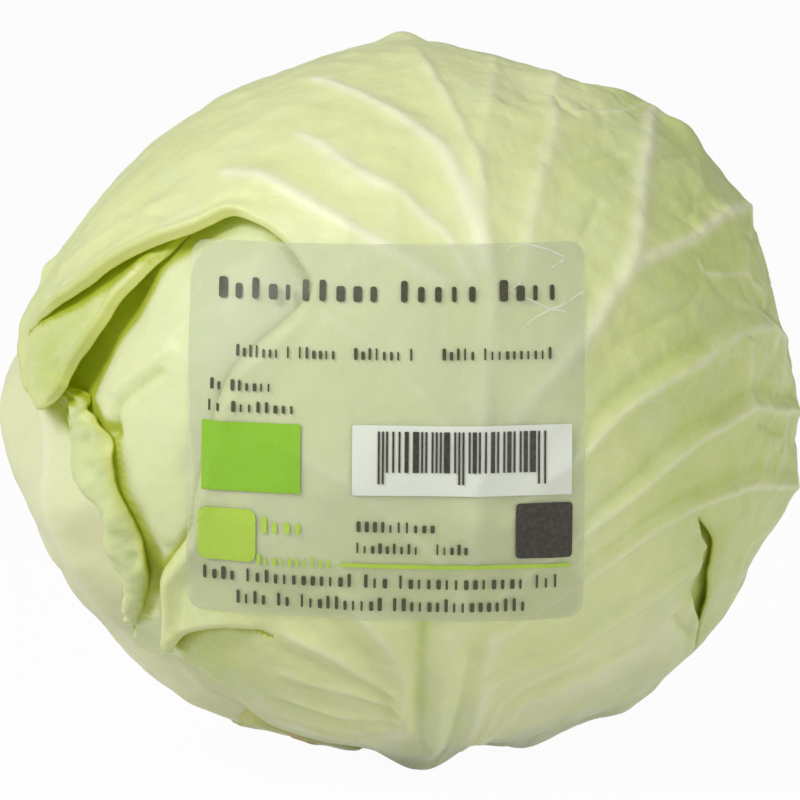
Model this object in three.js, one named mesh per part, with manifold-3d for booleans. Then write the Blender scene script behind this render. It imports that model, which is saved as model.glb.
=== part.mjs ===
// White cabbage, 163 mm wide, standing on its cut stalk.
//
// Millimetres, +Z up, the front of the head towards -Y. The origin is the middle of the stalk's flat
// cut face, on which the head stands. Every leaf is a thin shell around one rounded head: it follows
// the head's surface and lies one leaf pitch lower wherever another leaf lies over it.

import * as THREE from "three";
import { mergeVertices } from "three/addons/utils/BufferGeometryUtils.js";
import Module from "manifold-3d";

// ---- driving dimensions -------------------------------------------------------------------------

const HEAD_CENTRE_HEIGHT = 74;
const HEAD_HALF_WIDTH = 78.6;
const HEAD_HALF_DEPTH = 77;
const HEAD_HALF_HEIGHT = 71;

// Where the head swells or sinks: turn and lift of the place (degrees), rise (mm), spread (degrees).
// Turn 0 is the front, +90 the +X side. Lift 90 is the top.
const SWELLS = [
  { turn: 90, lift: 38, rise: 4.6, spread: 15 },
  { turn: 90, lift: 4, rise: 2.2, spread: 11 },
  { turn: 90, lift: -14, rise: 2.2, spread: 7 },
  { turn: 88, lift: -46, rise: 3.4, spread: 12 },
  { turn: -90, lift: 42, rise: -2.6, spread: 18 },
  { turn: -90, lift: 0, rise: 2.8, spread: 13 },
  { turn: -88, lift: -48, rise: 1.8, spread: 14 },
  { turn: 5, lift: 90, rise: 2, spread: 12 },
  { turn: -25, lift: -84, rise: 1.2, spread: 10 },
  { turn: 30, lift: -70, rise: 1.8, spread: 11 },
  { turn: 170, lift: 15, rise: 2, spread: 30 },
  { turn: -140, lift: -25, rise: -1.5, spread: 26 },
];

const LEAF_THICKNESS = 1.4;
const LEAF_PITCH = 2.6; // one leaf and the air under it
const COVER_FADE = 28; // degrees past a leaf's edge in which the leaf below comes back to the surface
const RIM_POINTS = 120;
const LEAF_RINGS = 10;
const LEAF_SPOKES = 36;
const BASE_RINGS = 3;
const BASE_SPOKES = 18;

const STALK_RADIUS = 16.5;
const STALK_HEIGHT = 19;
const STALK_CHAMFER = 0.8;
const STALK_SIDES = 40;
const STALK_CLEARANCE = 0.4;
const CORE_SOCKET_HEIGHT = STALK_HEIGHT + STALK_CLEARANCE;

const LABEL = {
  centreX: -2.4,
  centreZ: 76.6,
  halfWidth: 37.4,
  halfHeight: 35.6,
  squareness: 12, // exponent of the superellipse that rounds the corners
  stand: 1.2, // air between the head and the film
  thickness: 0.4,
  rings: 5,
  spokes: 40,
};

// The wrapper leaves from the outermost inwards. Turn and lift say where the leaf is centred, and
// each edge point is [angle around that centre (degrees, 0 towards +turn, 90 up), reach (degrees)].
const LEAVES = [
  {
    name: "front_leaf",
    colour: 0xcfd8a0,
    turn: 10,
    lift: 10,
    edge: [
      [0, 95], [30, 99], [60, 104], [90, 108], [120, 102], [145, 98], [163, 92], [176, 82],
      [182, 73], [189, 47], [197, 41], [205, 47], [212, 57], [218, 66], [225, 74], [234, 72],
      [245, 74], [257, 80], [268, 85], [278, 87], [290, 97], [310, 101], [335, 97],
    ],
  },
  {
    name: "back_left_leaf",
    colour: 0xc6d193,
    turn: -138,
    lift: 6,
    edge: [
      [0, 38], [30, 48], [60, 74], [90, 102], [120, 96], [150, 84], [180, 76], [210, 80],
      [240, 87], [256, 87], [265, 81], [275, 81], [284, 84], [300, 66], [330, 44],
    ],
  },
  {
    name: "right_leaf",
    colour: 0xd9e2ac,
    turn: 45,
    lift: 5,
    edge: [
      [0, 84], [30, 92], [60, 102], [90, 106], [120, 104], [150, 103], [172, 101], [184, 99],
      [198, 97], [214, 92], [226, 86], [240, 83], [254, 84], [264, 80], [276, 80], [287, 90],
      [320, 92], [345, 86],
    ],
  },
  {
    name: "left_leaf",
    colour: 0xcdd0aa,
    turn: -75,
    lift: 5,
    edge: [
      [0, 88], [35, 92], [65, 98], [90, 102], [120, 98], [150, 92], [180, 88], [210, 90],
      [240, 92], [255, 87], [264, 80], [276, 80], [285, 87], [300, 92], [330, 88],
    ],
  },
  {
    name: "back_right_leaf",
    colour: 0xd2d8a8,
    turn: 150,
    lift: 5,
    edge: [
      [0, 84], [35, 90], [65, 96], [90, 100], [120, 94], [150, 86], [180, 82], [210, 86],
      [240, 90], [255, 87], [264, 80], [276, 80], [285, 87], [300, 90], [330, 86],
    ],
  },
];

// The bay in the front leaf's left edge, under its folded tongue: turn and lift of each corner.
const FRONT_LEAF_BAY = [
  [-19.6, 30], [-14, 21.7], [-18, 16.4], [-23.7, 11.2], [-26.7, 5.4], [-30, -3], [-46, -4],
  [-59.9, 4], [-53.2, 12], [-46, 21.7], [-36, 30], [-27, 32.3],
];
const BAY_CUTTER_INNER_RADIUS = 30;
const BAY_CUTTER_OUTER_RADIUS = 190;

// Raised stretches of a leaf, each an elliptical swelling along a line of [turn, lift] points: the
// front leaf's folded lip, and the right leaf's edge, which is rolled outwards.
const ROLLS = [
  {
    leaf: "front_leaf",
    line: [[-27, 34], [-36, 32], [-43, 30], [-51, 26], [-61, 21], [-73, 15]],
    halfWidth: 3.2,
    rise: 2,
  },
  {
    leaf: "right_leaf",
    line: [[-54, 6], [-51, -5], [-48, -15], [-48, -24], [-55, -33]],
    halfWidth: 4,
    rise: 2.2,
  },
];
const ROLL_RINGS = 3;
const ROLL_SPOKES = 20;

// Bases of outer leaves that were trimmed off beside the stalk.
const TRIMMED_BASES = [
  { name: "trimmed_base_1", turn: -38, lift: -74, halfWidth: 4.5, halfLength: 9.5, thickness: 2 },
  { name: "trimmed_base_2", turn: -69, lift: -69, halfWidth: 5.5, halfLength: 7, thickness: 1 },
  { name: "trimmed_base_3", turn: 118, lift: -74, halfWidth: 9, halfLength: 9.5, thickness: 2 },
  { name: "trimmed_base_4", turn: -150, lift: -74, halfWidth: 8, halfLength: 8.5, thickness: 1.8 },
];
const TRIMMED_BASE_STAND = 0.5;

const RIND_COLOUR = 0xc9cda4;
const STALK_COLOUR = 0xd8d3b0;
const HEART_COLOUR = 0xe2e8bd;
const FILM_COLOUR = 0xe4e8da;

// ---- the head's surface -------------------------------------------------------------------------

const radians = THREE.MathUtils.degToRad;
const degrees = THREE.MathUtils.radToDeg;
const HEAD_CENTRE = new THREE.Vector3(0, 0, HEAD_CENTRE_HEIGHT);

function direction(turn, lift) {
  const flat = Math.cos(radians(lift));
  return new THREE.Vector3(
    Math.sin(radians(turn)) * flat,
    -Math.cos(radians(turn)) * flat,
    Math.sin(radians(lift)),
  );
}

const SWELL_DIRECTIONS = SWELLS.map(({ turn, lift }) => direction(turn, lift));

function headRadius(way) {
  const scaled = new THREE.Vector3(
    way.x / HEAD_HALF_WIDTH,
    way.y / HEAD_HALF_DEPTH,
    way.z / HEAD_HALF_HEIGHT,
  );
  let radius = 1 / scaled.length();
  SWELLS.forEach(({ rise, spread }, i) => {
    const away = degrees(way.angleTo(SWELL_DIRECTIONS[i])) / spread;
    radius += rise * Math.exp(-0.5 * away * away);
  });
  return radius;
}

// ---- the leaves' charts -------------------------------------------------------------------------

// A chart flattens the head around one place: angle 0 points towards +turn and 90 points up.
function chartAxes({ turn, lift }) {
  const out = direction(turn, lift);
  const side = direction(turn + 90, 0);
  const up = new THREE.Vector3().crossVectors(side, out).negate();
  if (up.z < 0) up.negate();
  return { out, side, up };
}

function fromChart(axes, angle, reach) {
  return new THREE.Vector3()
    .addScaledVector(axes.out, Math.cos(radians(reach)))
    .addScaledVector(axes.side, Math.sin(radians(reach)) * Math.cos(radians(angle)))
    .addScaledVector(axes.up, Math.sin(radians(reach)) * Math.sin(radians(angle)));
}

function toChart(axes, way) {
  const angle = degrees(Math.atan2(way.dot(axes.up), way.dot(axes.side)));
  return { angle: (angle + 360) % 360, reach: degrees(way.angleTo(axes.out)) };
}

// How far the edge lies from the centre at an angle: a smooth curve through the edge points.
function edgeReach(edge, angle) {
  const count = edge.length;
  let i = count - 1;
  while (i > 0 && edge[i][0] > angle) i -= 1;
  const at = (k) => edge[(k + count) % count];
  const span = (at(i + 1)[0] - at(i)[0] + 360) % 360;
  const t = ((angle - at(i)[0] + 360) % 360) / span;
  const slopeIn = (at(i + 1)[1] - at(i - 1)[1]) / 2;
  const slopeOut = (at(i + 2)[1] - at(i)[1]) / 2;
  const t2 = t * t;
  const t3 = t2 * t;
  return (
    (2 * t3 - 3 * t2 + 1) * at(i)[1] +
    (t3 - 2 * t2 + t) * slopeIn +
    (3 * t2 - 2 * t3) * at(i + 1)[1] +
    (t3 - t2) * slopeOut
  );
}

// 1 under the leaf, falling to 0 a way past its edge.
function cover(leaf, way) {
  const { angle, reach } = toChart(leaf.axes, way);
  if (reach <= edgeReach(leaf.edge, angle)) return 1;
  const away = Math.min(...leaf.rim.map((place) => way.angleTo(place)));
  return 1 - THREE.MathUtils.smoothstep(degrees(away), 0, COVER_FADE);
}

function depthUnder(leavesAbove, way) {
  return leavesAbove.reduce((depth, leaf) => depth + LEAF_PITCH * cover(leaf, way), 0);
}

// ---- solids -------------------------------------------------------------------------------------

const wasm = await Module();
wasm.setup();

function toSolid(geometry) {
  const bare = geometry.clone();
  bare.deleteAttribute("normal");
  bare.deleteAttribute("uv");
  const merged = mergeVertices(bare);
  return new wasm.Manifold(
    new wasm.Mesh({
      numProp: 3,
      vertProperties: new Float32Array(merged.attributes.position.array),
      triVerts: new Uint32Array(merged.index.array),
    }),
  );
}

function toGeometry(solid) {
  const { vertProperties, triVerts } = solid.getMesh();
  const geometry = new THREE.BufferGeometry();
  geometry.setAttribute("position", new THREE.BufferAttribute(vertProperties, 3));
  geometry.setIndex(new THREE.BufferAttribute(triVerts, 1));
  geometry.computeVertexNormals();
  return geometry;
}

// A closed sheet of rings and spokes. place(share, angle) gives the outer and the inner point at a
// share of the way from the middle to the edge.
function sheetGeometry(rings, spokes, place) {
  const outer = [];
  const inner = [];
  const add = (share, angle) => {
    const [outside, inside] = place(share, angle);
    outer.push(outside);
    inner.push(inside);
  };
  add(0, 0);
  for (let ring = 1; ring <= rings; ring += 1) {
    for (let spoke = 0; spoke < spokes; spoke += 1) add(ring / rings, (360 * spoke) / spokes);
  }
  const depth = outer.length;
  const at = (ring, spoke) => (ring === 0 ? 0 : 1 + (ring - 1) * spokes + (spoke % spokes));
  const faces = [];
  for (let spoke = 0; spoke < spokes; spoke += 1) {
    faces.push([at(0, 0), at(1, spoke), at(1, spoke + 1)]);
    for (let ring = 1; ring < rings; ring += 1) {
      faces.push([at(ring, spoke), at(ring + 1, spoke), at(ring + 1, spoke + 1)]);
      faces.push([at(ring, spoke), at(ring + 1, spoke + 1), at(ring, spoke + 1)]);
    }
  }
  const index = [];
  for (const [a, b, c] of faces) index.push(a, b, c, depth + a, depth + c, depth + b);
  for (let spoke = 0; spoke < spokes; spoke += 1) {
    const a = at(rings, spoke);
    const b = at(rings, spoke + 1);
    index.push(a, depth + a, depth + b, a, depth + b, b);
  }
  const geometry = new THREE.BufferGeometry().setFromPoints([...outer, ...inner]);
  geometry.setIndex(index);
  return geometry;
}

const onWay = (way, radius) => way.clone().multiplyScalar(radius).add(HEAD_CENTRE);

function leafGeometry(leaf, leavesAbove) {
  return sheetGeometry(LEAF_RINGS, LEAF_SPOKES, (share, angle) => {
    const way = fromChart(leaf.axes, angle, share * edgeReach(leaf.edge, angle));
    const radius = headRadius(way) - depthUnder(leavesAbove, way);
    return [onWay(way, radius), onWay(way, radius - LEAF_THICKNESS)];
  });
}

// A place on the smooth line through the points: share 0 is its first point and 1 its last.
function placeOnLine(line, share) {
  const curve = new THREE.CatmullRomCurve3(line.map(([turn, lift]) => direction(turn, lift)));
  return curve.getPoint(share);
}

function rollGeometry(roll, leavesAbove) {
  const aside = radians(roll.halfWidth);
  return sheetGeometry(ROLL_RINGS, ROLL_SPOKES, (share, angle) => {
    const along = 0.5 + 0.5 * share * Math.sin(radians(angle));
    const middle = placeOnLine(roll.line, along);
    const ahead = placeOnLine(roll.line, Math.min(1, along + 0.01));
    const behind = placeOnLine(roll.line, Math.max(0, along - 0.01));
    const across = new THREE.Vector3().crossVectors(ahead.sub(behind), middle).normalize();
    const way = middle.addScaledVector(across, aside * share * Math.cos(radians(angle))).normalize();
    const radius = headRadius(way) - depthUnder(leavesAbove, way);
    const rise = roll.rise * (1 - share * share);
    return [onWay(way, radius + rise), onWay(way, radius - LEAF_THICKNESS / 2)];
  });
}

function trimmedBaseGeometry(base) {
  const axes = chartAxes(base);
  return sheetGeometry(BASE_RINGS, BASE_SPOKES, (share, angle) => {
    const across = Math.cos(radians(angle)) / base.halfWidth;
    const along = Math.sin(radians(angle)) / base.halfLength;
    const way = fromChart(axes, angle, share / Math.hypot(across, along));
    const radius = headRadius(way) + TRIMMED_BASE_STAND;
    return [onWay(way, radius + base.thickness), onWay(way, radius)];
  });
}

// The way from the head's centre to the front surface at a given x and z.
function frontWay(x, z) {
  const way = new THREE.Vector3(x, -HEAD_HALF_DEPTH, z - HEAD_CENTRE_HEIGHT);
  for (let pass = 0; pass < 6; pass += 1) {
    const radius = headRadius(way.clone().normalize());
    way.y = -Math.sqrt(radius ** 2 - way.x ** 2 - way.z ** 2);
  }
  return way.normalize();
}

function labelGeometry() {
  return sheetGeometry(LABEL.rings, LABEL.spokes, (share, angle) => {
    const across = Math.abs(Math.cos(radians(angle))) / LABEL.halfWidth;
    const along = Math.abs(Math.sin(radians(angle))) / LABEL.halfHeight;
    const power = LABEL.squareness;
    const reach = share * (across ** power + along ** power) ** (-1 / power);
    const x = LABEL.centreX + reach * Math.cos(radians(angle));
    const z = LABEL.centreZ + reach * Math.sin(radians(angle));
    const way = frontWay(x, z);
    const radius = headRadius(way) + LABEL.stand;
    return [onWay(way, radius + LABEL.thickness), onWay(way, radius)];
  });
}

function heartGeometry(leavesAbove) {
  const ball = new THREE.IcosahedronGeometry(1, 7);
  const place = ball.attributes.position;
  for (let i = 0; i < place.count; i += 1) {
    const way = new THREE.Vector3().fromBufferAttribute(place, i).normalize();
    const point = onWay(way, headRadius(way) - depthUnder(leavesAbove, way));
    place.setXYZ(i, point.x, point.y, point.z);
  }
  return ball;
}

function stalkGeometry() {
  const profile = [
    new THREE.Vector2(0, 0),
    new THREE.Vector2(STALK_RADIUS - STALK_CHAMFER, 0),
    new THREE.Vector2(STALK_RADIUS, STALK_CHAMFER),
    new THREE.Vector2(STALK_RADIUS * 0.94, STALK_HEIGHT),
    new THREE.Vector2(0, STALK_HEIGHT),
  ];
  return new THREE.LatheGeometry(profile, STALK_SIDES).rotateX(Math.PI / 2);
}

// The room that every leaf and the heart leave for the stalk.
function stalkRoom() {
  const radius = STALK_RADIUS + STALK_CLEARANCE;
  const height = CORE_SOCKET_HEIGHT + HEAD_CENTRE_HEIGHT;
  const room = new THREE.CylinderGeometry(radius, radius, height, STALK_SIDES);
  room.rotateX(Math.PI / 2);
  room.translate(0, 0, CORE_SOCKET_HEIGHT - height / 2);
  return toSolid(room);
}

// A prism of ways from the head's centre through the bay's corners.
function bayCutter() {
  const corners = FRONT_LEAF_BAY.map(([turn, lift]) => direction(turn, lift));
  const outline = FRONT_LEAF_BAY.map(([turn, lift]) => new THREE.Vector2(turn, lift));
  const caps = THREE.ShapeUtils.triangulateShape(outline, []);
  const flip = THREE.ShapeUtils.area(outline) < 0;
  const count = corners.length;
  const points = [
    ...corners.map((way) => onWay(way, BAY_CUTTER_OUTER_RADIUS)),
    ...corners.map((way) => onWay(way, BAY_CUTTER_INNER_RADIUS)),
  ];
  const index = [];
  const face = (a, b, c) => (flip ? index.push(a, c, b) : index.push(a, b, c));
  for (const [a, b, c] of caps) {
    const turned = THREE.ShapeUtils.area([outline[a], outline[b], outline[c]]) < 0 !== flip;
    const [p, q, r] = turned ? [a, c, b] : [a, b, c];
    face(p, q, r);
    face(count + p, count + r, count + q);
  }
  for (let i = 0; i < count; i += 1) {
    const next = (i + 1) % count;
    face(i, count + i, count + next);
    face(i, count + next, next);
  }
  const geometry = new THREE.BufferGeometry().setFromPoints(points);
  geometry.setIndex(index);
  return toSolid(geometry);
}

// ---- the cabbage --------------------------------------------------------------------------------

const cabbage = new THREE.Group();

function addPiece(name, geometry, colour, roughness = 0.55) {
  const material = new THREE.MeshStandardMaterial({ color: colour, roughness, metalness: 0 });
  const mesh = new THREE.Mesh(geometry, material);
  mesh.name = name;
  cabbage.add(mesh);
}

const room = stalkRoom();
for (const leaf of LEAVES) {
  leaf.axes = chartAxes(leaf);
  leaf.rim = Array.from({ length: RIM_POINTS }, (_, i) => {
    const angle = (360 * i) / RIM_POINTS;
    return fromChart(leaf.axes, angle, edgeReach(leaf.edge, angle));
  });
}

addPiece("stalk", stalkGeometry(), STALK_COLOUR, 0.75);
addPiece("heart", toGeometry(toSolid(heartGeometry(LEAVES)).subtract(room)), HEART_COLOUR);
LEAVES.forEach((leaf, level) => {
  const leavesAbove = LEAVES.slice(0, level);
  let solid = toSolid(leafGeometry(leaf, leavesAbove));
  for (const roll of ROLLS.filter((each) => each.leaf === leaf.name)) {
    solid = solid.add(toSolid(rollGeometry(roll, leavesAbove)));
  }
  if (leaf.name === "front_leaf") solid = solid.subtract(bayCutter());
  solid = solid.subtract(room);
  addPiece(leaf.name, toGeometry(solid), leaf.colour);
});
for (const base of TRIMMED_BASES) {
  const solid = toSolid(trimmedBaseGeometry(base)).subtract(room);
  addPiece(base.name, toGeometry(solid), RIND_COLOUR, 0.7);
}
addPiece("label", labelGeometry(), FILM_COLOUR, 0.4);

export default cabbage;
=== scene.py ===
"""White cabbage: the finished look of the head, its leaves and its label.

Lengths in the classes below are millimetres and angles are degrees, in the frame of the solids:
+Z up, the front towards -Y, the origin in the middle of the stalk's cut face. Meshes are written
in metres. Every leaf is drawn flat in a chart around one place on the head and then wrapped onto
the head's surface, one pitch lower under each leaf that lies over it.
"""

from __future__ import annotations

import logging
import math
from dataclasses import dataclass, field
from enum import Enum
import bpy
import numpy as np
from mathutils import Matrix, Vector
from mathutils.bvhtree import BVHTree
from mathutils.geometry import delaunay_2d_cdt
from mathutils.kdtree import KDTree


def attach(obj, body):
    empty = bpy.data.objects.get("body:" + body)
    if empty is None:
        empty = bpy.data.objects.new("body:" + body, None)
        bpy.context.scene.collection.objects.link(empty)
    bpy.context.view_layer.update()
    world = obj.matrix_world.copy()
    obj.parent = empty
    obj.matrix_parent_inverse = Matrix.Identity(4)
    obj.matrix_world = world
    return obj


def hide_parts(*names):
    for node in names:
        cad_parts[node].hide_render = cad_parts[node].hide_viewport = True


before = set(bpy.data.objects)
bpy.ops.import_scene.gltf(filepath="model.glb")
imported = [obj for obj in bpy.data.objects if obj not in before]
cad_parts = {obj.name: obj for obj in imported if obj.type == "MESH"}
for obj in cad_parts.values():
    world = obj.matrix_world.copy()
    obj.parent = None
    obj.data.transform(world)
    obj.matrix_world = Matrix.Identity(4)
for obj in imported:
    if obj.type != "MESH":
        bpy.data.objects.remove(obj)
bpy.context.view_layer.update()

METRES = 0.001
MM_PER_DEGREE = 1.31
MEAN_RADIUS = 75.0
BODY = "root"
Array = np.ndarray
Place = tuple[float, float]
Material = bpy.types.Material
Socket = bpy.types.NodeSocket
log = logging.getLogger("cabbage")


# ---- lines and noise ----


def smoothstep(values: Array) -> Array:
    """Ease from 0 to 1 as the values go from 0 to 1."""
    t = np.clip(values, 0.0, 1.0)
    return t * t * (3.0 - 2.0 * t)


def smooth_line(points: list[Place] | tuple[Place, ...], step: float) -> Array:
    """Draw a smooth line through points.

    Args:
        points: Places that the line goes through.
        step: Distance between the returned places.

    Returns:
        Evenly spaced places along a Catmull-Rom curve.
    """
    knots = np.array(points, dtype=float)
    knots = np.vstack([2 * knots[0] - knots[1], knots, 2 * knots[-1] - knots[-2]])
    pieces = []
    for a, b, c, d in zip(knots[:-3], knots[1:-2], knots[2:-1], knots[3:]):
        share = np.linspace(0.0, 1.0, 24, endpoint=False)[:, None]
        bend = 2 * a - 5 * b + 4 * c - d
        twist = 3 * b - 3 * c + d - a
        pieces.append(0.5 * (2 * b + (c - a) * share + bend * share**2 + twist * share**3))
    dense = np.vstack(pieces + [knots[-2:-1]])
    lengths = np.concatenate([[0.0], np.cumsum(np.linalg.norm(np.diff(dense, axis=0), axis=1))])
    count = max(3, round(lengths[-1] / step))
    wanted = np.linspace(0.0, lengths[-1], count + 1)
    return np.stack([np.interp(wanted, lengths, dense[:, k]) for k in range(dense.shape[1])], axis=1)


def near_line(places: Array, line: Array) -> tuple[Array, Array, Array]:
    """Measure places against a line.

    Args:
        places: Places in a chart, one a row.
        line: The line's places.

    Returns:
        Distance to the line, share of its length at the nearest point, and side: 1 on the left.
    """
    best = np.full(len(places), np.inf)
    share = np.zeros(len(places))
    side = np.ones(len(places))
    for i in range(len(line) - 1):
        start = line[i]
        along = line[i + 1] - start
        off = places - start
        t = np.clip(off @ along / (along @ along), 0.0, 1.0)
        gap = off - t[:, None] * along
        distance = np.hypot(gap[:, 0], gap[:, 1])
        closer = distance < best
        best[closer] = distance[closer]
        share[closer] = (i + t[closer]) / (len(line) - 1)
        side[closer] = np.where((along[0] * off[:, 1] - along[1] * off[:, 0])[closer] >= 0, 1.0, -1.0)
    return best, share, side


def leftward(curve: Array) -> Array:
    """Return the direction to the left of a line at each of its places."""
    ahead = np.gradient(curve, axis=0)
    ahead /= np.linalg.norm(ahead, axis=1)[:, None]
    return np.stack([-ahead[:, 1], ahead[:, 0]], axis=1)


def in_box(places: Array, curve: Array, reach: float) -> Array:
    """Tell which places lie in the box round a line, widened by a reach."""
    low, high = curve.min(axis=0) - reach, curve.max(axis=0) + reach
    return np.all((places >= low) & (places <= high), axis=1)


def inside_loop(places: Array, loop: Array) -> Array:
    """Tell which places lie inside a closed loop.

    Args:
        places: Places in a chart.
        loop: The loop's places, in order.

    Returns:
        True for each place inside.
    """
    inside = np.zeros(len(places), dtype=bool)
    x, y = places[:, 0], places[:, 1]
    for (x0, y0), (x1, y1) in zip(loop, np.roll(loop, -1, axis=0)):
        if y0 == y1:
            continue
        crosses = (y0 > y) != (y1 > y)
        inside ^= crosses & (x < (x1 - x0) * (y - y0) / (y1 - y0) + x0)
    return inside


class Waves:
    """Smooth noise in space: a sum of plane waves in random directions."""

    def __init__(self, seed: int, size: float, count: int = 22) -> None:
        """Choose the waves.

        Args:
            seed: Number that fixes the random choice.
            size: Distance from one swelling to the next.
            count: How many waves are summed.
        """
        rng = np.random.default_rng(seed)
        ways = rng.normal(size=(count, 3))
        ways /= np.linalg.norm(ways, axis=1)[:, None]
        self.pushes = ways * (2 * math.pi / size) * rng.uniform(0.7, 1.35, size=(count, 1))
        self.phases = rng.uniform(0.0, 2 * math.pi, size=count)

    def __call__(self, points: Array) -> Array:
        """Return the noise at points, mostly between -1 and 1."""
        total = np.zeros(len(points))
        for push, phase in zip(self.pushes, self.phases):
            total += np.sin(points @ push + phase)
        return total * math.sqrt(2.0 / len(self.phases)) * 0.55


# ---- the head's surface ----


def way_to(turn: float, lift: float) -> Array:
    """Give the unit direction from the head's centre at a turn and lift."""
    t, a = math.radians(turn), math.radians(lift)
    return np.array([math.sin(t) * math.cos(a), -math.cos(t) * math.cos(a), math.sin(a)])


@dataclass(frozen=True)
class Swell:
    """A place where the head swells, or sinks where the rise is negative."""

    turn: float
    lift: float
    rise: float
    spread: float

    def heights(self, ways: Array) -> Array:
        """Return the swell's height in each direction."""
        away = np.degrees(np.arccos(np.clip(ways @ way_to(self.turn, self.lift), -1.0, 1.0)))
        return self.rise * np.exp(-0.5 * (away / self.spread) ** 2)


@dataclass(frozen=True)
class Head:
    """The rounded surface that the outermost leaves follow."""

    centre_height: float = 74.0
    half_width: float = 78.6
    half_depth: float = 77.0
    half_height: float = 71.0
    swells: tuple[Swell, ...] = tuple(Swell(*row) for row in (
        (90, 38, 4.6, 15), (90, 4, 2.2, 11), (90, -14, 2.2, 7), (88, -46, 3.4, 12), (-90, 42, -2.6, 18),
        (-90, 0, 2.8, 13), (-88, -48, 1.8, 14), (5, 90, 2.0, 12), (-25, -84, 0.9, 10),
        (30, -70, 1.5, 11), (170, 15, 2.0, 30), (-140, -25, -1.5, 26), (88, 12, -2.3, 8),
        (86, 45.5, 1.8, 2.6), (86, 54, 1.5, 3.0), (178, 85, 2.1, 2.8), (-88, 77, -1.0, 5),
        (-88, 54, 0.8, 6), (-87, 24, -1.3, 6), (-87, -2, 2.0, 5), (-87, -51, 1.1, 4), (88, -69, 1.7, 4),
        (87, -53, 2.0, 4.5), (87, -32, 1.0, 5), (86, -13, 1.2, 4), (87, 21, -0.9, 4),
        (86, 36, -0.9, 2.6), (86, 42, 0.7, 2.6), (85, 48.5, -1.1, 2.6), (135, 82, -0.7, 3),
        (-103, 64, -0.7, 3), (-91, 13, -1.3, 3), (-91, 6, 1.5, 2.6), (-89, -2, 1.1, 7),
        (-88, -35, 1.9, 6), (-83, -52, 0.7, 4), (-79, -61, 1.5, 4), (86, -62, 1.0, 5),
        (73, -69, 1.1, 4.5), (63, -78, -4.6, 3.2), (-88, -30, 0.7, 4), (24, -66, -1.3, 4),
        (-18, -73, -1.2, 5), (87, -24, -0.8, 2.4), (87, -28, 0.7, 2.4), (87, -6, -0.9, 2.4),
        (87, -9.5, 0.8, 2.0), (87, -13, -0.6, 2.0),
    ))

    def radii(self, ways: Array) -> Array:
        """Work out the head's surface.

        Args:
            ways: Unit directions from the centre.

        Returns:
            The distance from the centre to the surface in each direction.
        """
        radii = 1.0 / np.sqrt(
            (ways[:, 0] / self.half_width) ** 2
            + (ways[:, 1] / self.half_depth) ** 2
            + (ways[:, 2] / self.half_height) ** 2
        )
        for swell in self.swells:
            radii = radii + swell.heights(ways)
        return radii

    def points(self, ways: Array, radii: Array) -> Array:
        """Return the points at given distances from the centre."""
        return ways * radii[:, None] + np.array([0.0, 0.0, self.centre_height])


@dataclass(frozen=True)
class Chart:
    """A flat map of the head around one place: x towards +turn, y up, both in degrees."""

    turn: float
    lift: float

    def axes(self) -> tuple[Array, Array, Array]:
        """Return the chart's outward, sideways and upward directions."""
        out = way_to(self.turn, self.lift)
        side = way_to(self.turn + 90.0, 0.0)
        up = np.cross(out, side)
        return out, side, up if up[2] > 0 else -up

    def ways(self, places: Array) -> Array:
        """Turn places into directions.

        Args:
            places: Places in the chart.

        Returns:
            The unit direction of each place.
        """
        out, side, up = self.axes()
        reach = np.hypot(places[:, 0], places[:, 1])
        turn = np.arctan2(places[:, 1], places[:, 0])
        angle = np.radians(reach)
        flat = np.cos(turn)[:, None] * side + np.sin(turn)[:, None] * up
        return np.cos(angle)[:, None] * out + np.sin(angle)[:, None] * flat

    def places(self, ways: Array) -> Array:
        """Return the place of each direction."""
        out, side, up = self.axes()
        reach = np.degrees(np.arccos(np.clip(ways @ out, -1.0, 1.0)))
        turn = np.arctan2(ways @ up, ways @ side)
        return np.stack([reach * np.cos(turn), reach * np.sin(turn)], axis=1)


def polar(*pairs: tuple[float, float]) -> list[Place]:
    """Turn pairs of angle and reach into chart places."""
    return [(r * math.cos(math.radians(a)), r * math.sin(math.radians(a))) for a, r in pairs]


# ---- relief of a leaf ----


@dataclass(frozen=True)
class Ridge:
    """A raised line on a leaf, such as a vein, or a sunk one where the heights are negative."""

    line: tuple[Place, ...]
    widths: tuple[float, ...]
    heights: tuple[float, ...]
    # pale above 0 makes the line paler, as a vein is, and on a few fold crests it is a painted highlight;
    # below 0 it paints shade into a crease. valley sinks a groove beside the line and paints shade into it.
    pale: float = 0.0
    valley: float = 0.0

    def measure(self, places: Array) -> tuple[Array, Array]:
        """Measure the ridge at places.

        Args:
            places: Places in the leaf's chart.

        Returns:
            Height above the leaf, and paleness at each place, below 0 where shade is painted into a crease or
            a valley.
        """
        height = np.zeros(len(places))
        pale = np.zeros(len(places))
        curve = smooth_line(self.line, 2.0)
        near = in_box(places, curve, 4.5 * max(self.widths))
        if not near.any():
            return height, pale
        distance, share, side = near_line(places[near], curve)
        width = np.interp(share, np.linspace(0.0, 1.0, len(self.widths)), self.widths)
        rise = np.interp(share, np.linspace(0.0, 1.0, len(self.heights)), self.heights)
        ends = smoothstep(share / 0.06) * smoothstep((1.0 - share) / 0.12)
        slope = np.exp(-((distance / (1.7 * width)) ** 2))
        crest = np.exp(-((distance / (0.6 * width)) ** 2))
        # The valley sinks a groove beside the line; it and a negative pale also paint shade into the paleness
        # below.
        sunk = self.valley * np.exp(-((side * distance / width - 2.2) ** 2))
        height[near] = rise * ends * (0.6 * slope + 0.4 * crest - sunk)
        narrow = np.exp(-((distance / (0.55 * width)) ** 2))
        soft = 0.25 if self.valley else 0.55
        pale[near] = ends * (self.pale * (soft * slope + (1.0 - soft) * narrow) - 1.1 * sunk)
        return height, pale


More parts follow.
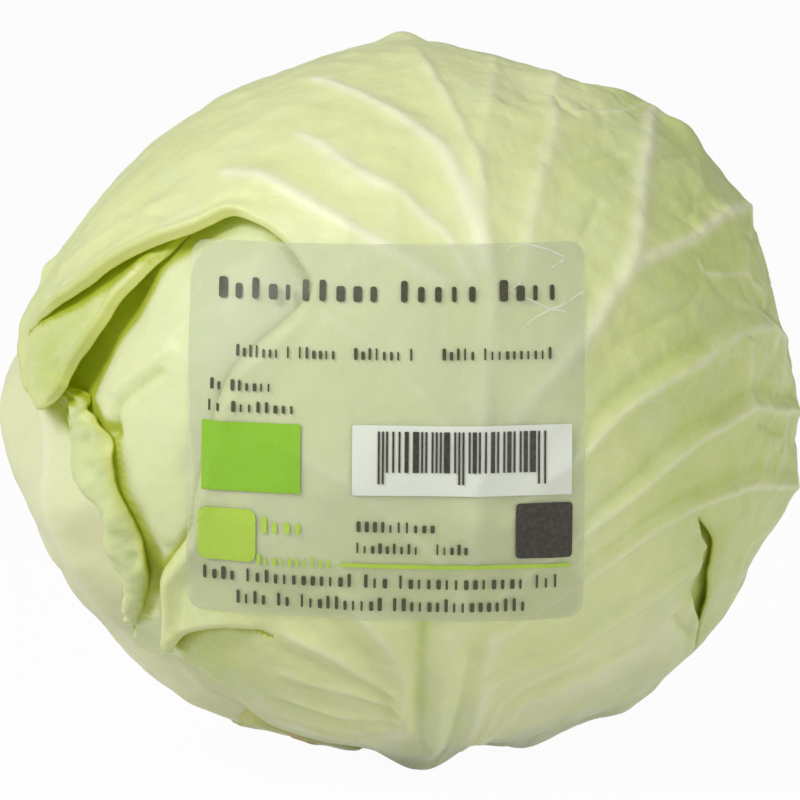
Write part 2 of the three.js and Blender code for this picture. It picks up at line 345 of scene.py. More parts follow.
@dataclass(frozen=True)
class Slit:
    """A fold or tear where one side of the leaf lies over the other.

    The line runs from the closed end to the open end. The raised side is 1 for the left of it and
    -1 for the right.
    """

    line: tuple[Place, ...]
    raised: float
    rise: float
    drop: float
    tuck: float
    rise_reach: float
    drop_reach: float
    open_share: float = 0.3
    end_share: float = 0.1
    under_end_share: float = 0.0
    gap: float = 0.3

    def curve(self) -> Array:
        """Return the slit's line in even steps."""
        return smooth_line(self.line, 1.0)

    def side_edge(self, side: float, until: float = 1.0) -> list[Place]:
        """Follow the slit's edge on one side, from its closed end.

        Args:
            side: 1 for the left side and -1 for the right.
            until: Share of the way to the open end.

        Returns:
            The edge's places.
        """
        curve = self.curve()
        left = leftward(curve)
        width = self.gap / 2 * smoothstep(np.linspace(0.0, 1.0, len(curve)) / 0.1)[:, None]
        count = max(2, round(until * len(curve)))
        return [tuple(place) for place in (curve + side * left * width)[:count]]

    def measure(self, places: Array) -> tuple[Array, Array]:
        """Measure the slit's effect.

        Args:
            places: Places in the leaf's chart.

        Returns:
            Height above the leaf, and the shift of each place in the chart.
        """
        curve = self.curve()
        height = np.zeros(len(places))
        shift = np.zeros_like(places)
        near = in_box(places, curve, 3.0 * max(self.rise_reach, self.drop_reach))
        distance, share, side = near_line(places[near], curve)
        over = side == self.raised
        strength = smoothstep(share / self.open_share)
        over_strength = strength * smoothstep((1.0 - share) / self.end_share)
        if self.under_end_share > 0.0:
            strength = strength * smoothstep((1.0 - share) / self.under_end_share)
        up = self.rise * over_strength * np.exp(-((distance / self.rise_reach) ** 2))
        down = self.drop * strength * np.exp(-((distance / self.drop_reach) ** 2))
        height[near] = np.where(over, up, -down)
        index = np.clip((share * (len(curve) - 1)).round().astype(int), 0, len(curve) - 1)
        amount = self.tuck * strength * np.exp(-((distance / (0.6 * self.drop_reach)) ** 2))
        pushed = leftward(curve)[index] * (self.raised * amount)[:, None]
        shift[near] = np.where(over[:, None], 0.0, pushed)
        return height, shift


def beside(line: list[Place], offset: float) -> tuple[Place, ...]:
    """Return a line shifted to its left by an offset."""
    curve = np.array(line, dtype=float)
    return tuple((float(x), float(y)) for x, y in curve + offset * leftward(curve))


class Quilt:
    """Puffs between the finest veins: a web of irregular cells over the head."""

    def __init__(self, seed: int, size: float) -> None:
        """Scatter the cells.

        Args:
            seed: Number that fixes the random differences.
            size: Usual width of a cell.
        """
        rng = np.random.default_rng(seed)
        count = round(4 * math.pi * MEAN_RADIUS**2 / size**2)
        index = np.arange(count) + 0.5
        z = 1.0 - 2.0 * index / count
        turn = math.pi * (1.0 + math.sqrt(5.0)) * index
        flat = np.sqrt(1.0 - z**2)
        seeds = np.stack([flat * np.cos(turn), flat * np.sin(turn), z], axis=1) * MEAN_RADIUS
        seeds += rng.normal(scale=0.3 * size, size=seeds.shape)
        self.seeds = seeds
        self.tree = KDTree(count)
        for i, place in enumerate(seeds.tolist()):
            self.tree.insert(place, i)
        self.tree.balance()

    def border(self, points: Array) -> Array:
        """Measure points against the web.

        Args:
            points: Points round the head's centre.

        Returns:
            The distance from each point to the nearest border between cells.
        """
        found = [self.tree.find_n(point, 2) for point in points.tolist()]
        first = np.array([pair[0][2] for pair in found])
        second = np.array([pair[1][2] for pair in found])
        apart = [(pair[0][1], pair[1][1]) for pair in found]
        gap = np.linalg.norm(self.seeds[[a for a, _ in apart]] - self.seeds[[b for _, b in apart]], axis=1)
        return (second**2 - first**2) / (2.0 * gap)


@dataclass(frozen=True)
class Lip:
    """A stretch of a leaf's edge that is thick and rounded, as a folded edge is."""

    line: tuple[Place, ...]
    radius: float
    # Strength of the band along this edge: the margin's own yellower colour, and painted shade where it curls
    # under.
    edge_tone_and_shade: float = 0.45
    reach: float = 2.0

    def radii(self, places: Array) -> Array:
        """Return the edge's rounding radius near the lip and 0 elsewhere."""
        distance, share, _ = near_line(places, smooth_line(self.line, 1.5))
        ends = smoothstep(share / 0.12) * smoothstep((1.0 - share) / 0.12)
        return self.radius * ends * (1.0 - smoothstep(distance / self.reach - 0.5))


# ---- closed shells ----


@dataclass
class Shell:
    """Vertices, triangles and vertex masks of one closed piece, in millimetres."""

    points: Array
    faces: Array
    masks: dict[str, Array] = field(default_factory=dict)

    def to_object(self, name: str, material: Material, smooth: bool = True) -> bpy.types.Object:
        """Write the shell as an object.

        Args:
            name: The object's name.
            material: Its finish.
            smooth: Whether its shading runs over its edges.

        Returns:
            The new object, in metres.
        """
        mesh = bpy.data.meshes.new(name)
        mesh.from_pydata((self.points * METRES).tolist(), [], self.faces.tolist())
        mesh.polygons.foreach_set("use_smooth", [smooth] * len(mesh.polygons))
        for key, values in self.masks.items():
            layer = mesh.attributes.new(key, "FLOAT", "POINT")
            layer.data.foreach_set("value", values.astype(np.float32))
        mesh.materials.append(material)
        mesh.update()
        piece = bpy.data.objects.new(name, mesh)
        bpy.context.scene.collection.objects.link(piece)
        return piece


def join(shells: list[Shell]) -> Shell:
    """Put shells together.

    Args:
        shells: The shells, in order.

    Returns:
        One mesh, with 0 where a shell lacks a mask.
    """
    starts = np.cumsum([0] + [len(shell.points) for shell in shells])
    masks = {
        key: np.concatenate([shell.masks.get(key, np.zeros(len(shell.points))) for shell in shells])
        for key in {key: 0 for shell in shells for key in shell.masks}
    }
    faces = np.vstack([shell.faces + start for shell, start in zip(shells, starts)])
    return Shell(np.vstack([shell.points for shell in shells]), faces, masks)


def triangles(rims: list[Array], inner: Array) -> Array:
    """Triangulate the area inside rims.

    Args:
        rims: The outer loop, anticlockwise, and then the holes, clockwise.
        inner: Places inside the area.

    Returns:
        Anticlockwise triangles over the rims' places followed by the inner places.
    """
    places = np.vstack(rims + [inner])
    edges = []
    start = 0
    for rim in rims:
        count = len(rim)
        edges += [(start + i, start + (i + 1) % count) for i in range(count)]
        start += count
    found = delaunay_2d_cdt([Vector(place) for place in places.tolist()], edges, [], 1, 1e-7)
    if len(found[0]) != len(places):
        raise ValueError(f"the rim crosses itself: {len(found[0])} places, not {len(places)}")
    faces = np.array([face for face in found[2] if len(face) == 3])
    a, b, c = places[faces[:, 0]], places[faces[:, 1]], places[faces[:, 2]]
    turn = (b[:, 0] - a[:, 0]) * (c[:, 1] - a[:, 1]) - (b[:, 1] - a[:, 1]) * (c[:, 0] - a[:, 0])
    faces[turn < 0] = faces[turn < 0][:, ::-1]
    for hole in rims[1:]:
        faces = faces[~inside_loop(places[faces].mean(axis=1), hole)]
    return faces


def lattice(rims: list[Array], step: float, clear: float) -> Array:
    """Fill the area inside rims with places in a triangular lattice.

    Args:
        rims: The outer loop and the holes.
        step: Distance between places.
        clear: Least distance to a rim.

    Returns:
        The places inside the area.
    """
    low, high = rims[0].min(axis=0), rims[0].max(axis=0)
    rise = step * math.sqrt(3.0) / 2.0
    rows = np.arange(low[1], high[1], rise)
    across = np.arange(low[0], high[0], step)
    x, y = np.meshgrid(across, rows)
    x = x + (np.arange(len(rows)) % 2)[:, None] * step / 2
    places = np.stack([x.ravel(), y.ravel()], axis=1)
    places = places[inside_rims(places, rims)]
    distance, _ = nearest_on_rims(places, rims)
    return places[distance > clear]


def inside_rims(places: Array, rims: list[Array]) -> Array:
    """Tell which places lie inside the outer loop and outside the holes."""
    inside = inside_loop(places, rims[0])
    for hole in rims[1:]:
        inside &= ~inside_loop(places, hole)
    return inside


def nearest_on_rims(places: Array, rims: list[Array]) -> tuple[Array, Array]:
    """Find the closest rim place to each place.

    Args:
        places: Places in a chart.
        rims: Loops in the same chart.

    Returns:
        The distance and the index of the closest rim place, counted over all rims.
    """
    every = np.vstack(rims)
    tree = KDTree(len(every))
    for i, (x, y) in enumerate(every.tolist()):
        tree.insert((x, y, 0.0), i)
    tree.balance()
    found = [tree.find((x, y, 0.0))[1:] for x, y in places.tolist()]
    if not found:
        return np.zeros(0), np.zeros(0, dtype=int)
    index, distance = zip(*found)
    return np.array(distance), np.array(index, dtype=int)


# ---- leaves ----

HEAD = Head()
LEAF_PITCH = 2.6
COVER_FADE = 28.0
UNDER_STEP = 4.0
RIM_ARC_STEPS = 4
RIM_BANDS = (0.35, 0.9, 1.6)
COARSE_FROM = 97.0
PALE_FROM_STALK, PALE_SPAN = 12.0, 56.0
# The painted fold shade starts where this share of a point's directions is closed off, and is full a span
# further on.
FOLD_SHADE_FROM, FOLD_SHADE_SPAN = 0.19, 0.22
QUILT_CELL, QUILT_BEND, QUILT_SLOPE, QUILT_LINE = 13.0, 2.2, 3.4, 0.6

# Where the leaves under the front leaf sink away from its folds.
HOLLOWS = (
    Swell(-50, 20, -3.3, 4.8),
    Swell(-57.5, 10, -3.7, 4.2),
    Swell(-60, 3, -3.2, 4.2),
    Swell(-39, 28, -0.5, 4),
    Swell(40, -70, -1.6, 3.0),
)

# Where the painted fold shade on the leaves under the front leaf is weakened, so they show lighter:
# beside the fold's peak, under the tear and on the lobe under the rolled edge.
LESS_FOLD_SHADE = (Swell(-27, 31, -0.9, 4.2), Swell(62, -25, -0.25, 12), Swell(-59, -38, -0.35, 5))


@dataclass
class Leaf:
    """One leaf: its outline in a chart, its relief and its place among the layers."""

    name: str
    chart: Chart
    outline: list[list[Place]]
    holes: list[list[list[Place]]] = field(default_factory=list)
    ridges: tuple[Ridge, ...] = ()
    slits: tuple[Slit, ...] = ()
    lips: tuple[Lip, ...] = ()
    above: list[Leaf] = field(default_factory=list)
    thickness: float = 1.1
    fuller: float = 0.0
    edge_radius: float = 0.45
    step: float = 0.9
    rim_step: float = 0.5
    waves: tuple[Place, ...] = ((22.0, 0.5), (9.0, 0.16), (3.6, 0.05))
    # The leaf grows greener from here towards the chart's right: partly its own colour, partly painted shade
    # on the side away from the key lamp.
    side_tone_and_shade_from: float = -60.0
    side_tone_and_shade_level: float = 0.5
    # Spots of greener colour that are painted shade in the folds and round the tear; a negative amount paints
    # the place lighter.
    shade_and_light_spots: tuple[tuple[float, float, float, float], ...] = ()
    quilt_from: float = -60.0
    quilt_height: float = 0.35
    swells: tuple[Swell, ...] = ()
    seed: int = 1

    def rims(self) -> list[Array]:
        """Return the outer loop, anticlockwise, and the holes, clockwise."""
        return [self.loop(self.outline)] + [self.loop(hole)[::-1] for hole in self.holes]

    def loop(self, stretches: list[list[Place]]) -> Array:
        """Join smooth stretches into one loop, with a corner wherever two of them meet."""
        pieces = [smooth_line(stretch, self.rim_step)[:-1] for stretch in stretches]
        return np.vstack(pieces)

    def cover(self, ways: Array) -> Array:
        """Tell what lies under this leaf.

        Args:
            ways: Directions from the head's centre.

        Returns:
            1 under the leaf, falling to 0 a way past its edge.
        """
        places = self.chart.places(ways)
        loop = self.loop(self.outline)[::3]
        cover = np.ones(len(places))
        outside = ~inside_loop(places, loop)
        distance, _ = nearest_on_rims(places[outside], [loop])
        cover[outside] = 1.0 - smoothstep(distance / COVER_FADE)
        return cover

    def base_radii(self, ways: Array) -> Array:
        """Work out the leaf's outer surface without its own relief.

        Args:
            ways: Directions from the head's centre.

        Returns:
            The distance from the centre in each direction.
        """
        radii = HEAD.radii(ways)
        for swell in self.swells:
            radii = radii + swell.heights(ways)
        for leaf in self.above:
            radii = radii - LEAF_PITCH * leaf.cover(ways)
        if self.above:
            for hollow in HOLLOWS:
                radii = radii + hollow.heights(ways)
        return radii

    def relief(self, places: Array) -> tuple[Array, Array, Array]:
        """Work out the leaf's own shape.

        Args:
            places: Places in the leaf's chart.

        Returns:
            Height over the base surface, shift in the chart, and paleness of the veins, below 0 where shade
            is painted into the creases.
        """
        height = np.zeros(len(places))
        shift = np.zeros_like(places)
        pale = np.zeros(len(places))
        crease_shade = np.zeros(len(places))
        for ridge in self.ridges:
            rise, light = ridge.measure(places)
            height += rise
            pale = np.maximum(pale, light)
            crease_shade = np.minimum(crease_shade, light)
        for slit in self.slits:
            rise, moved = slit.measure(places)
            height += rise
            shift += moved
        points = HEAD.points(self.chart.ways(places), HEAD.radii(self.chart.ways(places)))
        for i, (size, amount) in enumerate(self.waves):
            height += amount * Waves(self.seed * 10 + i, size)(points)
        share = smoothstep((places[:, 0] - self.quilt_from) / 30.0) * 0.85 + 0.15
        share *= smoothstep((places[:, 1] + 30.0) / 30.0) * 0.9 + 0.1
        share *= smoothstep(0.8 + 0.9 * Waves(self.seed * 10 + 7, 38.0)(points))
        bend = np.stack([Waves(self.seed * 10 + k, 11.0)(points) for k in (4, 5, 6)], axis=1)
        from_centre = points - [0.0, 0.0, HEAD.centre_height]
        border = Quilt(self.seed, QUILT_CELL).border(from_centre + QUILT_BEND * bend)
        height += self.quilt_height * share * (smoothstep(border / QUILT_SLOPE) - 0.5)
        pale = np.maximum(pale, 0.2 * share * np.exp(-((border / QUILT_LINE) ** 2)))
        return height, shift, pale + crease_shade

    def edge_radii(self, places: Array) -> Array:
        """Return the rounding radius of the edge at rim places."""
        radii = np.full(len(places), self.edge_radius)
        for lip in self.lips:
            radii = np.maximum(radii, lip.radii(places))
        return radii

    def shell(self) -> Shell:
        """Build the leaf.

        Returns:
            The leaf as a closed shell.
        """
        rims = self.rims()
        every_rim = np.vstack(rims)
        bands = [self.inset(rims, share) for share in RIM_BANDS]
        fine = lattice(rims, self.step, 2.1)
        far = np.hypot(fine[:, 0], fine[:, 1]) > COARSE_FROM
        fine = fine[~far | (np.arange(len(fine)) % 2 == 0)]
        inner = np.vstack(bands + [fine])
        top_places = np.vstack([every_rim, inner])
        top_faces = triangles(rims, inner)
        under_places = np.vstack([every_rim, lattice(rims, UNDER_STEP, 2.0)])
        under_faces = triangles(rims, under_places[len(every_rim):])
        edge = self.edge_radii(every_rim)

        height, shift, pale = self.relief(top_places)
        distance, index = nearest_on_rims(top_places, rims)
        radius = edge[index]
        past = np.clip(radius - distance * MM_PER_DEGREE, 0.0, None)
        height -= radius - np.sqrt(np.clip(radius**2 - past**2, 0.0, None))
        ways = self.chart.ways(top_places + shift)
        base = self.base_radii(ways)
        top = HEAD.points(ways, base + height)

        under_height, under_shift, _ = self.relief(under_places)
        _, under_index = nearest_on_rims(under_places, rims)
        under_ways = self.chart.ways(under_places + under_shift)
        depth = np.maximum(self.thickness, 0.35 + edge[under_index])
        depth[len(every_rim):] += self.fuller
        under = HEAD.points(under_ways, self.base_radii(under_ways) + under_height - depth)

        masks = self.masks(top_places, ways, pale, distance)
        return close_shell(rims, top, top_faces, under, under_faces, masks)

    def inset(self, rims: list[Array], distance: float) -> Array:
        """Line the rims with places inside the leaf.

        Args:
            rims: The outer loop and the holes.
            distance: How far from the rims the places lie.

        Returns:
            The places.
        """
        rows = []
        for rim in rims:
            along = np.roll(rim, -1, axis=0) - np.roll(rim, 1, axis=0)
            along /= np.linalg.norm(along, axis=1)[:, None]
            rows.append(rim + distance * np.stack([-along[:, 1], along[:, 0]], axis=1))
        places = np.vstack(rows)
        away, _ = nearest_on_rims(places, rims)
        return places[inside_rims(places, rims) & (away > 0.9 * distance)]

    def masks(self, places: Array, ways: Array, pale: Array, distance: Array) -> dict[str, Array]:
        """Work out the masks that the finish reads.

        Args:
            places: The outer surface's places in the chart.
            ways: Their directions from the head's centre.
            pale: Paleness of the veins there, below 0 where shade is painted into the creases.
            distance: Distance to the leaf's edge.

        Returns:
            The masks by name.
        """
        from_stalk = np.degrees(np.arccos(np.clip(-ways[:, 2], -1.0, 1.0)))
        # The greener mask: the leaf's own patchy colour, and painted shade away from the key lamp, in the
        # folds and round the tear; shade painted into creases adds to it.
        green_and_shade = self.side_tone_and_shade_level * smoothstep((places[:, 0] - self.side_tone_and_shade_from) / 45.0)
        for x, y, amount, reach in self.shade_and_light_spots:
            green_and_shade += amount * np.exp(-np.sum((places - [x, y]) ** 2, axis=1) / reach**2)
        # The edge band: the margin's own yellower colour, and painted shade where a folded edge curls under.
        edge_tone_and_shade = np.full(len(places), 0.45)
        for lip in self.lips:
            edge_tone_and_shade = np.maximum(edge_tone_and_shade, lip.edge_tone_and_shade * lip.radii(places) / lip.radius)
        return {
            # The vein mask also carries the painted highlight on a few fold crests.
            "vein": np.clip(pale, 0.0, 1.0),
            "base": 1.0 - smoothstep((from_stalk - PALE_FROM_STALK) / PALE_SPAN),
            "lip": edge_tone_and_shade * np.exp(-((distance / (0.7 + 0.25 * edge_tone_and_shade)) ** 2)),
            "green_and_shade": np.clip(green_and_shade - np.clip(pale, -1.0, 0.0), 0.0, 1.3),
        }


def close_shell(
    rims: list[Array],
    top: Array,
    top_faces: Array,
    under: Array,
    under_faces: Array,
    masks: dict[str, Array],
    steps: int = RIM_ARC_STEPS,
) -> Shell:
    """Join an outer and an inner surface round their rims with a rounded edge.

    Args:
        rims: The loops that both surfaces begin with, in order.
        top: Points of the outer surface.
        top_faces: Its triangles.
        under: Points of the inner surface.
        under_faces: Its triangles.
        masks: Values at the outer surface's points.
        steps: How many facets round the edge.

    Returns:
        The closed shell.
    """
    points = [top, under]
    faces = [top_faces, under_faces[:, ::-1] + len(top)]
    source = [np.arange(len(top)), np.zeros(len(under), dtype=int)]
    rim_count = sum(len(rim) for rim in rims)
    source[1][:rim_count] = np.arange(rim_count)
    total = len(top) + len(under)
    start = 0
    for rim in rims:
        count = len(rim)
        outer = top[start:start + count]
        inner = under[start:start + count]
        along = np.roll(outer, -1, axis=0) - np.roll(outer, 1, axis=0)
        across = np.cross(along, outer - inner)
        across /= np.linalg.norm(across, axis=1)[:, None] + 1e-9
        half = (outer - inner) / 2
        bulge = np.linalg.norm(half, axis=1)[:, None] * across
        previous = np.arange(start, start + count)
        for k in range(1, steps):
            angle = math.pi * k / steps
            points.append((outer + inner) / 2 + half * math.cos(angle) + bulge * math.sin(angle))
            source.append(np.arange(start, start + count))
            ring = np.arange(total, total + count)
            faces.append(strip(previous, ring))
            previous = ring
            total += count
        faces.append(strip(previous, np.arange(start, start + count) + len(top)))
        start += count
    order = np.concatenate(source)
    joined = {key: values[order] for key, values in masks.items()}
    return Shell(np.vstack(points), np.vstack(faces), joined)


def strip(first: Array, second: Array) -> Array:
    """Join two closed rows of vertices with triangles."""
    after_first, after_second = np.roll(first, -1), np.roll(second, -1)
    lower = np.stack([first, second, after_second], axis=1)
    upper = np.stack([first, after_second, after_first], axis=1)
    return np.vstack([lower, upper])


def close_rows(count: int, rows: int) -> Array:
    """Join rows of vertices that close to a point at both ends.

    Args:
        count: Vertices in a row.
        rows: Number of rows between the first point and the last.

    Returns:
        Triangles over the first point, the rows and the last point.
    """
    bottom = 1 + np.arange(count)
    top = bottom + (rows - 1) * count
    faces = [strip(bottom + row * count, bottom + (row + 1) * count)[:, ::-1] for row in range(rows - 1)]
    faces.append(np.stack([np.zeros(count, dtype=int), np.roll(bottom, -1), bottom], axis=1))
    faces.append(np.stack([np.full(count, 1 + rows * count), top, np.roll(top, -1)], axis=1))
    return np.vstack(faces)


def paint_fold_shade(shells: list[Shell], reach: float = 15.0, count: int = 14) -> None:
    """Paint shade into the folds: give every shell a mask of how closed in by the leaves its points are.

    Args:
        shells: The leaves, whose masks gain the painted fold shade.
        reach: How near a leaf has to be to close off a direction.
        count: How many directions each point looks in.
    """
    whole = join(shells)
    tree = BVHTree.FromPolygons(whole.points.tolist(), whole.faces.tolist())
    turns = np.radians(np.arange(count) * 137.5)
    rise = np.sqrt((np.arange(count) + 1.0) / (count + 0.7))
    flat = np.sqrt(1.0 - rise**2)
    for shell in shells:
        corners = shell.points[shell.faces]
        across = np.cross(corners[:, 1] - corners[:, 0], corners[:, 2] - corners[:, 0])
        normals = np.zeros_like(shell.points)
        for k in range(3):
            np.add.at(normals, shell.faces[:, k], across)
        normals /= np.linalg.norm(normals, axis=1)[:, None] + 1e-12
        side = np.cross(normals, [0.31, 0.17, 0.93])
        side /= np.linalg.norm(side, axis=1)[:, None] + 1e-12
        other = np.cross(normals, side)
        starts = [Vector(point) for point in (shell.points + 0.25 * normals).tolist()]
        shut = np.zeros(len(shell.points))
        for turn, out, up in zip(turns, flat, rise):
            ways = side * (out * math.cos(turn)) + other * (out * math.sin(turn)) + normals * up
            looks = zip(starts, ways.tolist())
            shut += [tree.ray_cast(a, Vector(b), reach)[0] is not None for a, b in looks]
        around = np.vstack([np.roll(shell.faces, k, axis=1) for k in range(3)])
        near = np.bincount(around[:, 0], minlength=len(shut))
        for _ in range(3):
            shut = np.bincount(around[:, 0], shut[around[:, 1]] + shut[around[:, 2]], len(shut)) / (2 * near)
        # The share of closed directions becomes painted shade, which the finish turns olive.
        shade = smoothstep((shut / count - FOLD_SHADE_FROM) / FOLD_SHADE_SPAN)
        if shell is not shells[0]:
            ways = shell.points - [0.0, 0.0, HEAD.centre_height]
            ways /= np.linalg.norm(ways, axis=1)[:, None]
            shade += sum(swell.heights(ways) for swell in LESS_FOLD_SHADE)
        shell.masks["fold_shade"] = np.clip(shade, 0.0, 1.0)


def fan_veins(seed: int, lean: float = 0.0, strength: float = 1.0) -> tuple[Ridge, ...]:
    """Draw a midrib and the side veins that fan out from it.

    Args:
        seed: Number that fixes the random differences.
        lean: How far the midrib's top leans sideways, in degrees.
        strength: Height of the veins against the usual one.

    Returns:
        The ridges, in a chart whose stalk lies straight down.
    """
    rng = np.random.default_rng(seed)
    spine = ((0.0, -84.0), (-0.5, -60.0), (0.3 * lean, -30.0), (0.6 * lean, 5.0), (lean, 40.0), (lean, 78.0))
    ridges = [Ridge(spine, (5.0, 2.6, 1.7, 1.2), tuple(strength * h for h in (3.0, 1.5, 1.0, 0.7)), 0.8)]
    for side in (-1.0, 1.0):
        for start in (-72.0, -56.0, -38.0, -18.0, 4.0, 28.0):
            y = start + rng.uniform(-5.0, 5.0)
            open_out = rng.uniform(0.85, 1.2)
            reach = rng.uniform(50.0, 72.0) - 0.35 * abs(y)
            line = (
                (0.3 * lean + side * 1.0, y),
                (side * 0.24 * reach, y + 9.0 * open_out),
                (side * 0.58 * reach, y + 20.0 * open_out),
                (side * reach, y + 30.0 * open_out),
            )
            high = strength * rng.uniform(0.55, 0.9)
            ridges.append(Ridge(line, (1.7, 1.3, 0.9), (high, 0.7 * high, 0.3 * high), 0.7))
            twig_x = side * 0.5 * reach
            twig = (
                (twig_x, y + 18.0 * open_out),
                (twig_x + side * 7.0, y + 29.0 * open_out),
                (twig_x + side * 10.0, y + 44.0 * open_out),
            )
            ridges.append(Ridge(twig, (1.1, 0.7), (0.5 * high, 0.2 * high), 0.45))
    return tuple(ridges)


